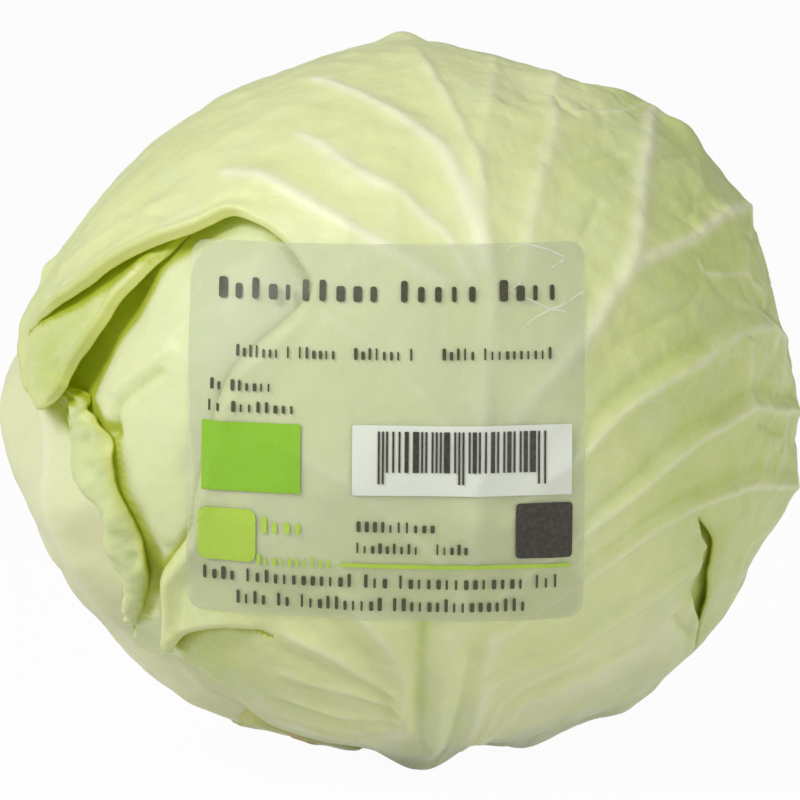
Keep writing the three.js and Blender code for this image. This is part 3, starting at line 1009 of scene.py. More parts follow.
def front_leaf() -> Leaf:
    """Describe the big front leaf: folded at the upper left, pleated at the lower left, torn at the right.

    Returns:
        The leaf.
    """
    fold = Slit(
        line=(
            (-81, 14.6), (-77, 16.4), (-72.1, 17.6), (-65.2, 19.3), (-61.3, 20.2), (-56.8, 22.2),
            (-51.7, 23.6), (-47, 24.3), (-42.5, 24.9), (-38.4, 26.2), (-34.5, 27), (-30, 24.8),
            (-26.6, 22),
        ),
        raised=1.0, rise=1.7, drop=1.9, tuck=3.4, rise_reach=8.0, drop_reach=5.0,
        open_share=0.25, end_share=0.18, under_end_share=0.3,
    )
    flap = Slit(
        line=(
            (-30.2, -42.6), (-32.6, -41.4), (-36.1, -41), (-39.6, -41.3), (-43.5, -42.5),
            (-46.8, -44.6), (-49.2, -47.6), (-51.2, -50.8),
        ),
        raised=-1.0, rise=1.5, drop=1.9, tuck=3.0, rise_reach=6.0, drop_reach=5.0,
        open_share=0.4, end_share=0.05,
    )
    tongue_edge = [
        (-83.5, 7.2), (-79.6, 2.4), (-75.6, -1.6), (-73.2, -1.6), (-70.3, 0), (-67.9, 1.9),
        (-66.9, 3.9), (-64.5, 6.4), (-61.3, 9), (-58.7, 11.8), (-56.2, 15.2), (-53.5, 18),
        (-50.1, 20.4), (-46.4, 22),
    ]
    under_fold = fold.side_edge(-1, 0.72)
    tongue_edge.append(under_fold[-1])
    lobe = [
        (-26.6, 22), (-23.7, 17.8), (-22.3, 12.8), (-26.9, 7.8), (-33, 2.9), (-36.5, -2.9),
        (-39.2, -10.4), (-41.6, -18.3), (-43.6, -24.4), (-47.3, -29), (-49.9, -32.4),
        (-51.1, -36), (-51.6, -40.8), (-52.4, -46), (-52.9, -49.6), (-51.8, -51.4),
    ]
    far_edge = polar(
        (0, 95), (30, 99), (60, 104), (90, 108), (120, 102), (145, 98), (161, 93), (168, 89),
    )
    under_flap = flap.side_edge(1, 0.94)
    foot = [
        under_flap[-1], (-50.3, -53), (-48.4, -56), (-44, -58.9), (-40.5, -61.6),
        (-37.4, -67.6), (-33.6, -73), (-26, -79), (-17, -83.6), (-8, -87), (0, -88),
        (12, -88.4), (22, -90.4), (36, -91), (64, -77), (88, -41), (95, 0),
    ]
    outline = [
        far_edge + tongue_edge[:3],
        tongue_edge[2:6],
        tongue_edge[5:],
        under_fold[::-1],
        fold.side_edge(1, 0.97),
        lobe,
        flap.side_edge(-1, 0.97)[::-1],
        under_flap,
        foot,
    ]
    tear = [
        [
            (40.1, -22.7), (41.3, -24.3), (43.2, -26.6), (45, -28.4), (44.3, -29.8), (45.3, -31.2),
            (45.1, -33), (44.7, -35), (45, -37.4), (48, -41.2), (52, -44.8), (55.2, -48.4),
            (58.2, -52.6), (60.2, -55.6),
        ],
        [
            (60.2, -55.6), (59.2, -51.8), (56.8, -47.6), (54.6, -43.6), (52.7, -39.7), (50.6, -35.8),
            (48.9, -32.2), (47.6, -29.4), (46.4, -27.3), (44, -25.2), (41.7, -23.5), (40.1, -22.7),
        ],
    ]
    # A fifth value sinks a valley beside the vein and paints shade into it; negative paleness paints shade
    # into a crease.
    veins = tuple(Ridge(*row) for row in (
        (((3, -84), (1, -74), (-1, -62), (-1.5, -52), (-1, -42), (0, -34), (1, -26), (1, -18), (2, -4),
            (4, 10), (4, 22), (4.5, 32), (3.6, 41), (2, 53), (1, 61), (1, 77)),
            (5.0, 3.6, 3.0, 2.6, 2.2, 1.9, 1.6, 1.8, 2.2), (3.0, 2.2, 1.5, 1.2, 1.0, 0.9, 0.8, 1.1, 1.8),
            0.55),
        (((3.4, 12), (2.8, 22), (1.5, 29), (-1, 37), (-4, 42), (-9.4, 48.7), (-16, 56.4), (-24, 64)),
            (1.6, 2.1, 1.6, 1.3), (0.5, 1.2, 0.9, 0.6), 1.0),
        (((2, 11), (-1.5, 19.7), (-5.2, 24.4), (-8.2, 28.2), (-14.1, 32.7), (-20.2, 39.8), (-27, 46)),
            (1.1, 1.4, 1.5), (0.4, 0.9, 0.4), 0.85),
        (((-1, 11), (-7, 16), (-12.5, 20), (-19, 25.1), (-25.2, 30.3), (-29, 33.4), (-40, 38)),
            (1.3, 1.3, 1.6), (0.5, 1.1, 0.5), 1.0),
        (((8, 10), (10.4, 19.7), (13.5, 28.7), (19.1, 40), (24.3, 54), (30, 66)), (1.8, 2.2), (0.5, 0.9),
            0.55),
        (((4, 28), (6.5, 39), (10.6, 50.2), (19.1, 72.6)), (1.8, 2), (0.4, 0.7), 0.4),
        (((4, -10), (9, -4), (17.6, 4.8), (22.8, 11.2), (28, 19), (32.3, 28.6), (39.4, 43.1),
            (46.8, 53.1), (56, 62)), (1.6, 2.2, 2.3, 1.8), (0.5, 1.1, 1.2, 1.0), 0.75),
        (((23, 12.5), (29, 17), (34.5, 19.3), (40.9, 22.2), (47, 26), (52.6, 29.4), (59.3, 32.1),
            (76, 38)), (1.7, 1.5), (0.7, 1.1, 1.2), 0.75),
        (((3, -25), (10, -17), (17.2, -11.7), (23.2, -6.2), (30.1, -2.2), (38.5, 1.7), (47.8, 6.3),
            (56, 8.4), (66, 8.8), (82, 10)), (1.1, 1.2, 1.7, 1.5), (0.5, 1.1, 1.2, 1.1), 0.6, 0.35),
        (((2, -38), (10, -30), (18.2, -23.7), (27, -17.5), (34.3, -12.5), (39, -9.7), (45.5, -7.5),
            (52.9, -5.1), (60.6, -5.5), (68.2, -5.2), (84, -5)), (1.1, 0.95, 1.6, 1.4), (0.6, 1.3, 1.1, 1.2),
            0.6, 0.38),
        (((2, -46), (11, -38), (19.6, -31.8), (28.3, -25.3), (35.7, -21.7), (42.4, -20), (53.3, -18.6),
            (61, -19), (78, -20), (90, -21)), (1.1, 0.9, 1.5, 1.4), (0.6, 1.4, 1.1, 1.1), 0.6, 0.38),
        (((3, -56), (10, -51), (18.8, -46.6), (26, -41.4), (32, -37.8), (39.8, -34), (44.4, -32.4)),
            (1.1, 0.9), (0.6, 1.2, 0.6), 0.6, 0.38),
        (((10, -72), (13.6, -62.5), (19.2, -57), (24.6, -54.1), (33.2, -50.6), (39.5, -48.2)),
            (1.4, 0.95), (0.9, 1.1, 0.4), 0.8, 0.35),
        (((9, -72), (10.5, -60.2), (13.5, -54.3), (20.6, -49.1), (30, -45)), (1.4, 1.1), (0.9, 0.7, 0.3),
            0.6),
        (((12.8, -71), (19.2, -67.4), (26.8, -65.9), (38, -64)), (1.2, 1.4), (0.7, 0.3), 0.4),
        (((7.5, -78), (7, -64), (6, -54), (5.6, -44), (5.5, -36)), (1.6, 2), (1.2, 0.9, 0.3), 0.7),
        (((-5.5, -68), (-7.6, -53.6), (-8.9, -48), (-11.2, -42.8), (-14.5, -38.3), (-21, -31)),
            (1.4, 1.8, 1.8), (1.2, 1.6, 0.5), 0.6, 0.3),
        (((-7, -60), (-8.7, -55), (-11, -53.4), (-13.8, -50.5), (-19.8, -45.5), (-30, -40)),
            (0.9, 1.3, 1.6), (1.2, 1.4, 0.5), 0.65, 0.4),
        (((-6.4, -59.6), (-8.3, -58.6), (-13.1, -56.4), (-17.1, -54.2), (-31, -50)), (0.9, 1.1),
            (1.3, 1.2, 0.4), 0.6, 0.4),
        (((-6.8, -62.4), (-8.5, -61.9), (-15, -61.9), (-20.7, -61.6), (-33, -57)), (0.9, 1.1),
            (1.2, 1.2, 0.4), 0.6, 0.4),
        (((-7, -66), (-8.7, -65.3), (-16.7, -67.5), (-24.8, -66.7), (-32, -64)), (1, 1.1),
            (1.0, 1.0, 0.4), 0.6, 0.4),
        (((-9, -81), (-12, -75), (-16.5, -73.2), (-21, -72), (-30, -67)), (1.2, 1.2), (0.6, 0.8, 0.4),
            0.6),
        (((-6, -36), (-5.9, -42), (-5.5, -48.4), (-4.6, -56.5), (-3.1, -65.4), (0, -77)), (1.4, 1.9, 1.6),
            (-0.5, -1.6, -1.3), -1.25),
        (((2.2, -42), (2.5, -53.8), (3, -61.7), (3.7, -71.7), (5, -83)), (1.4, 1.3), (-0.5, -1.3, -0.9),
            -0.6),
        (((-2, -30), (-10, -22), (-20, -14), (-32, -8)), (1.5, 1.1), (0.6, 0.3), 0.6),
        (((-1, -12), (-8, -2), (-16, 6), (-22, 10)), (1.4, 1), (0.5, 0.3), 0.5),
        (((42, 20.5), (42, 18), (43, 16.6), (46.4, 16.7), (54, 18), (56, 16.6), (60.2, 15.7), (59.6, 12)),
            (0.8, 0.7), (0.4, 0.5), 0.6),
        (((49.2, 12.3), (53.7, 12.2), (57, 11.5), (60, 9.2), (59.6, 3.4)), (0.9, 0.8), (0.6, 0.7), 0.7),
        (((54, 18), (56.5, 24.9)), (0.8, 0.7), (0.4, 0.3), 0.5),
        (((50.5, 6.5), (51.3, -1.4), (51.3, -5.5)), (1.3, 1.1), (0.9, 0.9), 0.55),
        (((52, 42.3), (49, 36), (45.9, 31)), (1, 0.8), (0.4, 0.4), 0.35),
        (((25.8, 48.6), (32.8, 50), (37.7, 50.8), (50.6, 57.8)), (1.2, 1), (0.6, 0.6), 0.5),
        (((66.7, -28), (60, -31), (62, -36), (63, -40)), (1.2, 1), (0.8, 0.5), 0.5),
        (((12, -66), (24, -58), (36, -50), (48, -40)), (13, 11), (0, 0), 0.62),
        (((-19, -54), (-12, -60), (-6.5, -70)), (4, 4.5), (0, 0), 0.75),
        (((41.9, 15.6), (37.9, 11.5), (31.5, 7.9), (26.1, 5.6), (21, 4)), (0.7, 0.7), (-0.7, -0.5)),
        (((15.3, 33.9), (22.7, 34.6), (30.8, 38.2), (33.7, 37.7)), (0.7, 0.7), (-0.5, -0.5)),
        (((38.5, 38), (42.9, 39.5), (46.4, 40.8), (52, 42.3)), (0.7, 0.7), (-0.6, -0.6)),
        (((24.3, 27.7), (21.8, 23.7), (19.3, 20.1)), (0.7, 0.7), (-0.4, -0.4)),
        (((11.8, 49.1), (16.7, 51.3), (24.1, 54.4), (25, 49.4), (30.9, 50.5), (35, 53)), (0.8, 0.8),
            (-0.7, -0.7)),
        (((54, -7.5), (56.6, -7.3), (59.7, -8.4), (66, -9.1)), (0.9, 0.9), (-1.1, -1.6)),
        (((67.6, -10.6), (64, -12.8), (58.9, -15.5)), (0.8, 0.7), (-0.8, -0.4)),
        (((-59, 36), (-54, 32.6), (-48.2, 30.6), (-45, 28.6)), (0.7, 0.7), (-0.3, -0.5)),
    ))
    tear_left, tear_right = tear
    tear_right = tear_right[::-1]
    # The paleness on the tongue's short ridge, the flap's crest and the tear's left lip is a painted
    # highlight; negative paleness paints shade into the creases.
    folds = (
        Ridge(fold.line[1:-1], (0.6, 0.65), (-0.5, -1.2, -0.8)),
        Ridge(beside(fold.line[1:-1], 1.35), (0.6, 0.7), (0.4, 1.1, 0.9)),
        Ridge(beside(fold.line[1:-1], 2.9), (0.9, 1), (-0.2, -0.6, -0.4)),
        Ridge(beside(fold.line[1:-2], 6.0), (2.0, 2.2, 1.8), (-0.4, -0.8, -0.3)),
        Ridge(beside(fold.line[2:-3], 9.6), (1.6, 1.8), (0.4, 0.6)),
        Ridge(tuple(tongue_edge[3:-1]), (0.5, 0.55), (-0.5, -1.0, -0.6)),
        Ridge(beside(tongue_edge[3:-1], 1.1), (0.55, 0.65, 0.6), (0.5, 1.2, 0.9)),
        Ridge(beside(tongue_edge[5:-2], 3.6), (1.3, 1.2, 0.9), (-0.6, -1.3, -0.7)),
        Ridge(((-80, 9), (-75, 7), (-70, 7.5), (-67, 9)), (0.9, 0.7), (0.5, 0.3), 0.3),
        Ridge(((-79, 3), (-75.5, 0.6), (-72, 2)), (1.2, 1), (-0.7, -0.5)),
        Ridge(tuple(lobe[5:-1]), (1, 0.9), (-0.3, -1.1, -0.9)),
        Ridge(beside(lobe[2:-1], 2.1), (1.3, 1.2, 1.1), (0.6, 1.1, 1.0)),
        Ridge(beside(lobe[7:-2], 5.0), (2, 1.8), (-0.5, -0.6)),
        Ridge(beside(flap.line[1:-1], -1.4), (0.9, 1), (0.5, 0.9), 0.3),
        Ridge(beside(tear_left[:8], -1.2), (1.2, 1.4), (0.4, 0.7), 0.15),
        Ridge(beside(tear_left[8:], -1.2), (1.4, 1.2), (0.6, 0.3)),
        Ridge(beside(tear_right[2:], 1.2), (1.2, 1.4), (-0.3, -0.5), -0.3),
        Ridge(
            ((41, -42), (43.2, -42.6), (45, -44.8), (49, -47), (53.7, -49.7)), (0.8, 0.9), (-1.1, -1.3), -0.5,
        ),
    )
    lips = (
        Lip(((-76, 16.8),) + fold.line[2:-1], 0.85, 1.0),
        Lip(tuple(tongue_edge[3:]), 0.7, 1.0),
        Lip(tuple(lobe[4:]), 0.8),
        Lip(flap.line[2:], 0.9),
        Lip(tuple(tear_left), 0.9),
    )
    return Leaf(
        "front_leaf", Chart(10, 10), outline, [tear], veins + folds, (fold, flap), lips,
        fuller=0.8, step=0.6, rim_step=0.42, seed=3, side_tone_and_shade_from=0.0, side_tone_and_shade_level=0.8,
        # Painted shade under the folds and round the tear; the negative spots paint the lower right and the
        # top lighter.
        shade_and_light_spots=(
            (-68, 7, 0.9, 12), (-44, -52, 0.8, 8), (-58, 20, 0.4, 9), (36, -52, -0.8, 30),
            (28, 58, -0.55, 14), (43.5, -28, 0.8, 2.6), (46, -36, 0.8, 2.6), (50, -43, 0.6, 3),
        ),
        quilt_from=14.0, quilt_height=0.46,
        swells=(
            Swell(16, -78.5, 2.5, 4.5), Swell(40, -70, -1.8, 2.4), Swell(-10, -75, -0.8, 3.0),
            Swell(-85, 20.8, 1.3, 1.6), Swell(-83, 18.4, -0.8, 1.6),
        ),
        waves=((20, 0.4), (8, 0.17), (3.4, 0.05)),
    )


def right_leaf(above: list[Leaf]) -> Leaf:
    """Describe the leaf that comes round from the right and shows in the front leaf's bay.

    Args:
        above: The leaves that lie over it.

    Returns:
        The leaf.
    """
    outline = [
        polar((0, 84), (30, 92), (60, 102), (90, 106), (120, 105), (150, 107), (166, 110))
        + [(-109.6, 16), (-108.6, 9), (-107.4, 2.5), (-103, -6), (-99.6, -12.6), (-95.2, -17)]
        + [(-93.4, -21.4), (-93.2, -32.6), (-89.5, -39.1), (-88.9, -46.1), (-88, -55.6), (-86.4, -60.2)]
        + [(-85.6, -67.4), (-82.2, -70.8), (-78.6, -69.2), (-74.6, -66), (-66, -67.6), (-55, -70.8)]
        + [(-42, -76)]
        + [(-26, -79)]
        + polar((264, 80), (276, 80), (287, 90), (320, 92), (345, 86), (360, 84)),
    ]
    # Negative paleness paints shade into the creases.
    wrinkles = tuple(Ridge(*row) for row in (
        (((-80, 12.5), (-87, 8.2), (-90.4, 5), (-91.4, 1.5), (-91.4, -3)), (0.9, 0.8), (-0.9, -1.7),
            -1.0),
        (((-78, 17), (-84, 13.5), (-89, 10.5), (-93, 8)), (1.6, 1.4), (0.5, 1)),
        (((-91.2, 3), (-90.4, -4), (-89.6, -12), (-86.8, -21.8), (-83.8, -33), (-83.6, -42), (-84, -52)),
            (1.1, 1.2), (-1.2, -1.3), -0.6),
        (((-82, -29), (-79, -25), (-77, -21), (-72, -14)), (1, 1.2), (-0.7, -0.4), 0.0),
        (((-76, -60), (-74, -46), (-70, -30), (-62, -14), (-52, 4)), (1.8, 1.4), (0.5, 0.4), 0.35),
        (((-66, -62), (-60, -44), (-52, -26), (-44, -8)), (1.6, 1.2), (0.5, 0.3), 0.35),
    ))
    return Leaf(
        "right_leaf", Chart(45, 5), outline, ridges=fan_veins(21, 6) + wrinkles, above=above,
        step=1.0, rim_step=0.8, seed=5, shade_and_light_spots=((-84, -64, 1.1, 7),),
    )


def left_leaf(above: list[Leaf]) -> Leaf:
    """Describe the leaf on the left side.

    Args:
        above: The leaves that lie over it.

    Returns:
        The leaf.
    """
    outline = [
        polar(
            (0, 88), (35, 92), (65, 98), (90, 102), (120, 98), (150, 92), (180, 88), (210, 90),
            (240, 92), (255, 87), (264, 80), (276, 80), (285, 87), (300, 92), (330, 88), (360, 88),
        ),
    ]
    veins = tuple(Ridge(*row) for row in (
        (((-8, 16), (-2, 6), (4, -2), (6.6, -9), (7, -18), (7.5, -27), (5.4, -36), (2, -45), (3, -58),
            (5, -78)), (2.6, 3.0, 3.8, 4.6), (0.9, 1.4, 1.7, 2.6), 0.6),
        (((22, 4), (21, -11), (22, -23), (20, -33), (16, -43), (9, -62)), (1.4, 1.7, 2.0),
            (0.5, 0.9, 1.0), 0.7),
        (((2, -30), (-10, -22), (-24, -14), (-40, -8)), (1.6, 1.1), (0.8, 0.4), 0.6),
        (((0, -52), (-12, -44), (-28, -36), (-44, -32)), (1.6, 1.1), (0.8, 0.4), 0.6),
        (((-5, 8), (-16, 20), (-26, 36), (-34, 54)), (1.6, 1.1), (0.8, 0.4), 0.6),
        (((-8, 14), (-2, 30), (2, 50), (3, 72)), (1.6, 1), (0.8, 0.4), 0.6),
    ))
    return Leaf(
        "left_leaf", Chart(-75, 5), outline, ridges=veins, above=above, step=1.0, rim_step=0.8, seed=6,
        waves=((22, 0.5), (9, 0.2), (3.8, 0.05)),
    )


def back_left_leaf(above: list[Leaf]) -> Leaf:
    """Describe the outer leaf that wraps the back from the left.

    Args:
        above: The leaves that lie over it.

    Returns:
        The leaf.
    """
    outline = [
        polar(
            (0, 38), (30, 48), (60, 74), (90, 102), (120, 96), (150, 84), (180, 76), (210, 80),
            (240, 87), (256, 87), (265, 81), (275, 81), (284, 84), (300, 66), (330, 44), (360, 38),
        ),
    ]
    lips = (Lip(tuple(outline[0][-4:] + outline[0][1:3]), 1.1),)
    return Leaf(
        "back_left_leaf", Chart(-138, 6), outline, ridges=fan_veins(31, -5.0, 1.1), lips=lips,
        above=above, step=0.85, rim_step=0.7, seed=7,
    )


def back_right_leaf(above: list[Leaf]) -> Leaf:
    """Describe the leaf that closes the back from the right.

    Args:
        above: The leaves that lie over it.

    Returns:
        The leaf.
    """
    outline = [
        polar(
            (0, 84), (35, 90), (65, 96), (90, 100), (120, 94), (150, 86), (180, 82), (210, 86),
            (240, 90), (255, 87), (264, 80), (276, 80), (285, 87), (300, 90), (330, 86), (360, 84),
        ),
    ]
    return Leaf(
        "back_right_leaf", Chart(150, 5), outline, ridges=fan_veins(41, 4), above=above,
        step=1.1, rim_step=0.9, seed=8,
    )


# ---- the rolled edge, the heart, the stalk and the trimmed bases ----


@dataclass
class RolledEdge:
    """The free edge of the right leaf, folded outwards and back over the leaf."""

    host: Leaf
    fold: tuple[Place, ...] = (
        (-109.4, 14), (-108.6, 5), (-104, -6), (-100.7, -12.6), (-96.2, -16.9), (-94.4, -20.7),
        (-94.2, -33), (-90.4, -39.1), (-89.7, -46.1), (-88.8, -55.6), (-87.2, -60.4),
    )
    free: tuple[Place, ...] = (
        (-103.2, 10.4), (-97.4, 5), (-92.2, -2), (-91.3, -8.3), (-90.8, -13.3), (-88.3, -21.8),
        (-85.6, -32.9), (-85.5, -40), (-85.8, -48), (-86.5, -56), (-86.6, -59.8),
    )
    roll: float = 1.9
    thickness: float = 1.0
    free_stand: float = 0.9
    crumple_share: float = 0.16
    dimples: tuple[tuple[float, float, float, float, float], ...] = (
        (0.13, 0.22, -2.6, 0.05, 0.16), (0.06, 0.55, -1.2, 0.03, 0.12), (0.14, 0.75, 1.0, 0.04, 0.3),
        (0.24, 0.6, -0.9, 0.03, 0.5), (0.62, 0.85, -0.8, 0.03, 0.1), (0.9, 0.5, -0.9, 0.02, 0.4),
    )
    along_count: int = 240
    across_count: int = 26
    seed: int = 71

    def shell(self) -> Shell:
        """Build the rolled edge.

        Returns:
            The edge as a closed strip.
        """
        along = np.linspace(0.0, 1.0, self.along_count)
        across = np.linspace(0.0, 1.0, self.across_count)
        fold = self.resample(self.fold)
        free = self.resample(self.free)
        u, v = np.meshgrid(along, across, indexing="ij")
        places = fold[:, None, :] * (1 - v[..., None]) + free[:, None, :] * v[..., None]
        places = places.reshape(-1, 2)
        share, width = u.ravel(), v.ravel()
        ways = self.host.chart.ways(places)
        base = self.host.base_radii(ways)
        points = HEAD.points(ways, base)
        crumple = 1.0 - smoothstep(share / self.crumple_share - 0.4)
        ends = smoothstep((1.0 - share) / 0.1)
        arch = np.sin(math.pi * np.clip(width, 0.0, 1.0) ** 0.72) ** 0.75
        height = -0.8 * (1.0 - smoothstep(width / 0.1)) + self.roll * arch * (0.35 + 0.65 * ends)
        height += self.free_stand * smoothstep(width) * ends + 1.0 * crumple * width
        folds = Waves(self.seed, 8.0)(points) * 0.5 + Waves(self.seed + 1, 3.2)(points) * 0.16
        tight = Waves(self.seed + 2, 5.0)(points) * 0.4
        height += (folds + crumple * tight) * smoothstep(width / 0.12)
        for u_mid, v_mid, depth, u_reach, v_reach in self.dimples:
            height += depth * np.exp(-(((share - u_mid) / u_reach) ** 2) - ((width - v_mid) / v_reach) ** 2)
        top = HEAD.points(ways, base + height)
        under = HEAD.points(ways, base + height - self.thickness)
        rows, columns = self.along_count, self.across_count
        index = np.arange(rows * columns).reshape(rows, columns)
        a, b, c, d = index[:-1, :-1], index[1:, :-1], index[1:, 1:], index[:-1, 1:]
        faces = np.vstack([
            np.stack([a.ravel(), b.ravel(), c.ravel()], axis=1),
            np.stack([a.ravel(), c.ravel(), d.ravel()], axis=1),
        ])
        loop = np.concatenate([index[:, 0], index[-1, 1:], index[-2::-1, -1], index[0, -2:0:-1]])
        order = np.concatenate([loop, np.setdiff1d(index.ravel(), loop)])
        new = np.empty(len(order), dtype=int)
        new[order] = np.arange(len(order))
        faces = new[faces]
        masks = {
            "vein": np.zeros(len(order)),
            "base": 0.25 * share[order],
            "lip": np.maximum(np.exp(-(1 - width[order]) / 0.1), np.exp(-width[order] / 0.1)),
            "green_and_shade": np.full(len(order), 0.85),
        }
        return close_shell([places[loop]], top[order], faces, under[order], faces, masks)

    def resample(self, line: tuple[Place, ...]) -> Array:
        """Return a line in as many even steps as the strip has rows."""
        dense = smooth_line(line, 0.2)
        wanted = np.linspace(0.0, len(dense) - 1.0, self.along_count)
        steps = np.arange(len(dense))
        return np.stack([np.interp(wanted, steps, dense[:, k]) for k in range(2)], axis=1)


@dataclass
class Heart:
    """The closed inner head, seen only through gaps between the leaves."""

    leaves: list[Leaf]
    rings: int = 72
    seed: int = 91

    def shell(self) -> Shell:
        """Build the heart.

        Returns:
            The heart as one closed body.
        """
        lifts = np.linspace(-90.0, 90.0, self.rings + 1)[1:-1]
        turns = np.linspace(0.0, 360.0, 2 * self.rings, endpoint=False)
        ways = [way_to(0.0, -90.0)]
        ways += [way_to(turn, lift) for lift in lifts for turn in turns]
        ways = np.array(ways + [way_to(0.0, 90.0)])
        radii = HEAD.radii(ways) - 0.9
        for leaf in self.leaves:
            radii = radii - LEAF_PITCH * leaf.cover(ways)
        points = HEAD.points(ways, radii)
        radii += 0.5 * Waves(self.seed, 20.0)(points) + 0.15 * Waves(self.seed + 1, 8.0)(points)
        flat = {"vein": 0.0, "base": 0.4, "lip": 0.0, "green_and_shade": 0.1}
        masks = {key: np.full(len(points), value) for key, value in flat.items()}
        return Shell(HEAD.points(ways, radii), close_rows(len(turns), len(lifts)), masks)


@dataclass
class Stalk:
    """The stalk, cut flat under the head, which stands on the cut face."""

    radius: float = 16.5
    height: float = 19.0
    face_radius: float = 6.8
    face_centre: tuple[float, float] = (3.8, 6.0)
    bevel_height: float = 12.0
    facets: int = 160
    face_rings: int = 18
    seed: int = 51

    def shell(self) -> Shell:
        """Build the stalk.

        Returns:
            The stalk as one closed body.
        """
        around = np.radians(np.linspace(0.0, 360.0, self.facets, endpoint=False))
        flat = np.stack([np.cos(around), np.sin(around), np.zeros(self.facets)], axis=1)
        lumps = 0.5 * Waves(self.seed, 11.0)(flat * self.radius) - 0.5
        face = self.face_radius + lumps
        middle = np.array([*self.face_centre, 0.0])
        shares = np.linspace(0.0, 1.0, self.face_rings)[1:]
        rows = [(middle + flat * (share * face)[:, None], 0.0) for share in shares]
        rim = middle + flat * face[:, None]
        rows.append((rim + flat * 0.35, 0.12))
        for z in np.linspace(0.6, self.height, 16):
            share = min(1.0, z / self.bevel_height) ** 0.9
            neck = 0.6 * math.sin(math.pi * z / self.height)
            wide = self.radius + lumps - neck + 0.15 * Waves(self.seed + 1, 4.0)(flat * (12.0 + z))
            rows.append(((rim + flat * 0.6) * (1 - share) + flat * wide[:, None] * share, z))
        points = [middle[None, :]]
        for ring, z in rows:
            points.append(np.stack([ring[:, 0], ring[:, 1], np.full(self.facets, z)], axis=1))
        points.append(np.array([[0.0, 0.0, self.height]]))
        points = np.vstack(points)
        masks = {"cut": 1.0 - smoothstep(points[:, 2] / 1.2)}
        return Shell(points, close_rows(self.facets, len(rows)), masks)


@dataclass
class TrimmedBase:
    """The thick base of an outer leaf that was cut away beside the stalk."""

    name: str
    turn: float
    lift: float
    half_width: float
    half_length: float
    thickness: float
    stand: float = 0.5
    root: float = 5.0
    brown: float = 1.0
    step: float = 0.55
    seed: int = 61

    def shell(self) -> Shell:
        """Build the base.

        Returns:
            The base as a closed thick sheet.
        """
        chart = Chart(self.turn, self.lift)
        w, h = self.half_width, self.half_length
        rng = np.random.default_rng(self.seed)
        cut = [(w * x, h + rng.uniform(-0.6, 0.2)) for x in (0.78, 0.4, 0.0, -0.4, -0.78)]
        outline = [
            [(w, -0.8 * h), (w, 0.0), (0.86 * w, 0.9 * h), (0.78 * w, h)],
            cut,
            [
                cut[-1], (-0.86 * w, 0.9 * h), (-w, 0.0), (-w, -0.8 * h), (-0.7 * w, -h), (0.7 * w, -h),
                (w, -0.8 * h),
            ],
        ]
        outline[0][-1] = cut[0]
        rim = np.vstack([smooth_line(part, 0.4)[:-1] for part in outline])
        inner = lattice([rim], self.step, 0.3)
        places = np.vstack([rim, inner])
        faces = triangles([rim], inner)
        distance, _ = nearest_on_rims(places, [rim])
        ways = chart.ways(places)
        base = HEAD.radii(ways) + self.stand
        across = np.clip(np.abs(places[:, 0]) / w, 0.0, 1.0)
        top_radii = base + self.thickness * (1.0 - 0.45 * across**2)
        soft = np.clip(0.5 - distance * MM_PER_DEGREE, 0.0, None)
        points = HEAD.points(ways, top_radii)
        top_radii += 0.16 * Waves(self.seed, 5.0)(points) - 0.6 * soft
        top = HEAD.points(ways, top_radii)
        under = HEAD.points(ways, base - self.root)
        near_cut = smoothstep((places[:, 1] - h + 4.4) / 1.2)
        near_cut *= smoothstep(1.4 - np.abs(places[:, 0]) / (0.6 * w))
        masks = {
            "vein": np.exp(-((places[:, 0] / (0.35 * w)) ** 2)) * 0.6,
            "base": np.full(len(places), 0.75),
            "lip": np.exp(-distance / 2.0),
            "green_and_shade": np.full(len(places), 0.2),
            "cut": self.brown * near_cut,
        }
        return close_shell([rim], top, faces, under, faces, masks)


# ---- the label ----


@dataclass
class Drape:
    """The surface that the label takes: close over the leaves, bridging their small hollows."""

    low: tuple[float, float]
    high: tuple[float, float]
    step: float = 0.8
    clear: float = 0.3
    settle: int = 70

    def lay(self, below: BVHTree) -> None:
        """Find how far forward the film lies.

        Args:
            below: The leaves under the label, in millimetres.
        """
        self.xs = np.arange(self.low[0] - 2.0, self.high[0] + 2.0, self.step)
        self.zs = np.arange(self.low[1] - 2.0, self.high[1] + 2.0, self.step)
        limit = np.zeros((len(self.xs), len(self.zs)))
        for i, x in enumerate(self.xs.tolist()):
            for j, z in enumerate(self.zs.tolist()):
                hit = below.ray_cast(Vector((x, -200.0, z)), Vector((0.0, 1.0, 0.0)))[0]
                limit[i, j] = (hit.y if hit else 0.0) - self.clear
        ys = limit.copy()
        for _ in range(self.settle):
            wide = np.pad(ys, 1, mode="reflect", reflect_type="odd")
            mean = (wide[:-2, 1:-1] + wide[2:, 1:-1] + wide[1:-1, :-2] + wide[1:-1, 2:]) / 4.0
            ys = np.minimum(limit, mean)
        self.ys = ys

    def forward(self, places: Array) -> Array:
        """Read how far forward the film lies.

        Args:
            places: Places as x and z.

        Returns:
            The film's y at each place.
        """
        fx = np.clip((places[:, 0] - self.xs[0]) / self.step, 0, len(self.xs) - 1.001)
        fz = np.clip((places[:, 1] - self.zs[0]) / self.step, 0, len(self.zs) - 1.001)
        i, j = fx.astype(int), fz.astype(int)
        u, v = fx - i, fz - j
        low = self.ys[i, j] * (1 - v) + self.ys[i, j + 1] * v
        high = self.ys[i + 1, j] * (1 - v) + self.ys[i + 1, j + 1] * v
        return low * (1 - u) + high * u


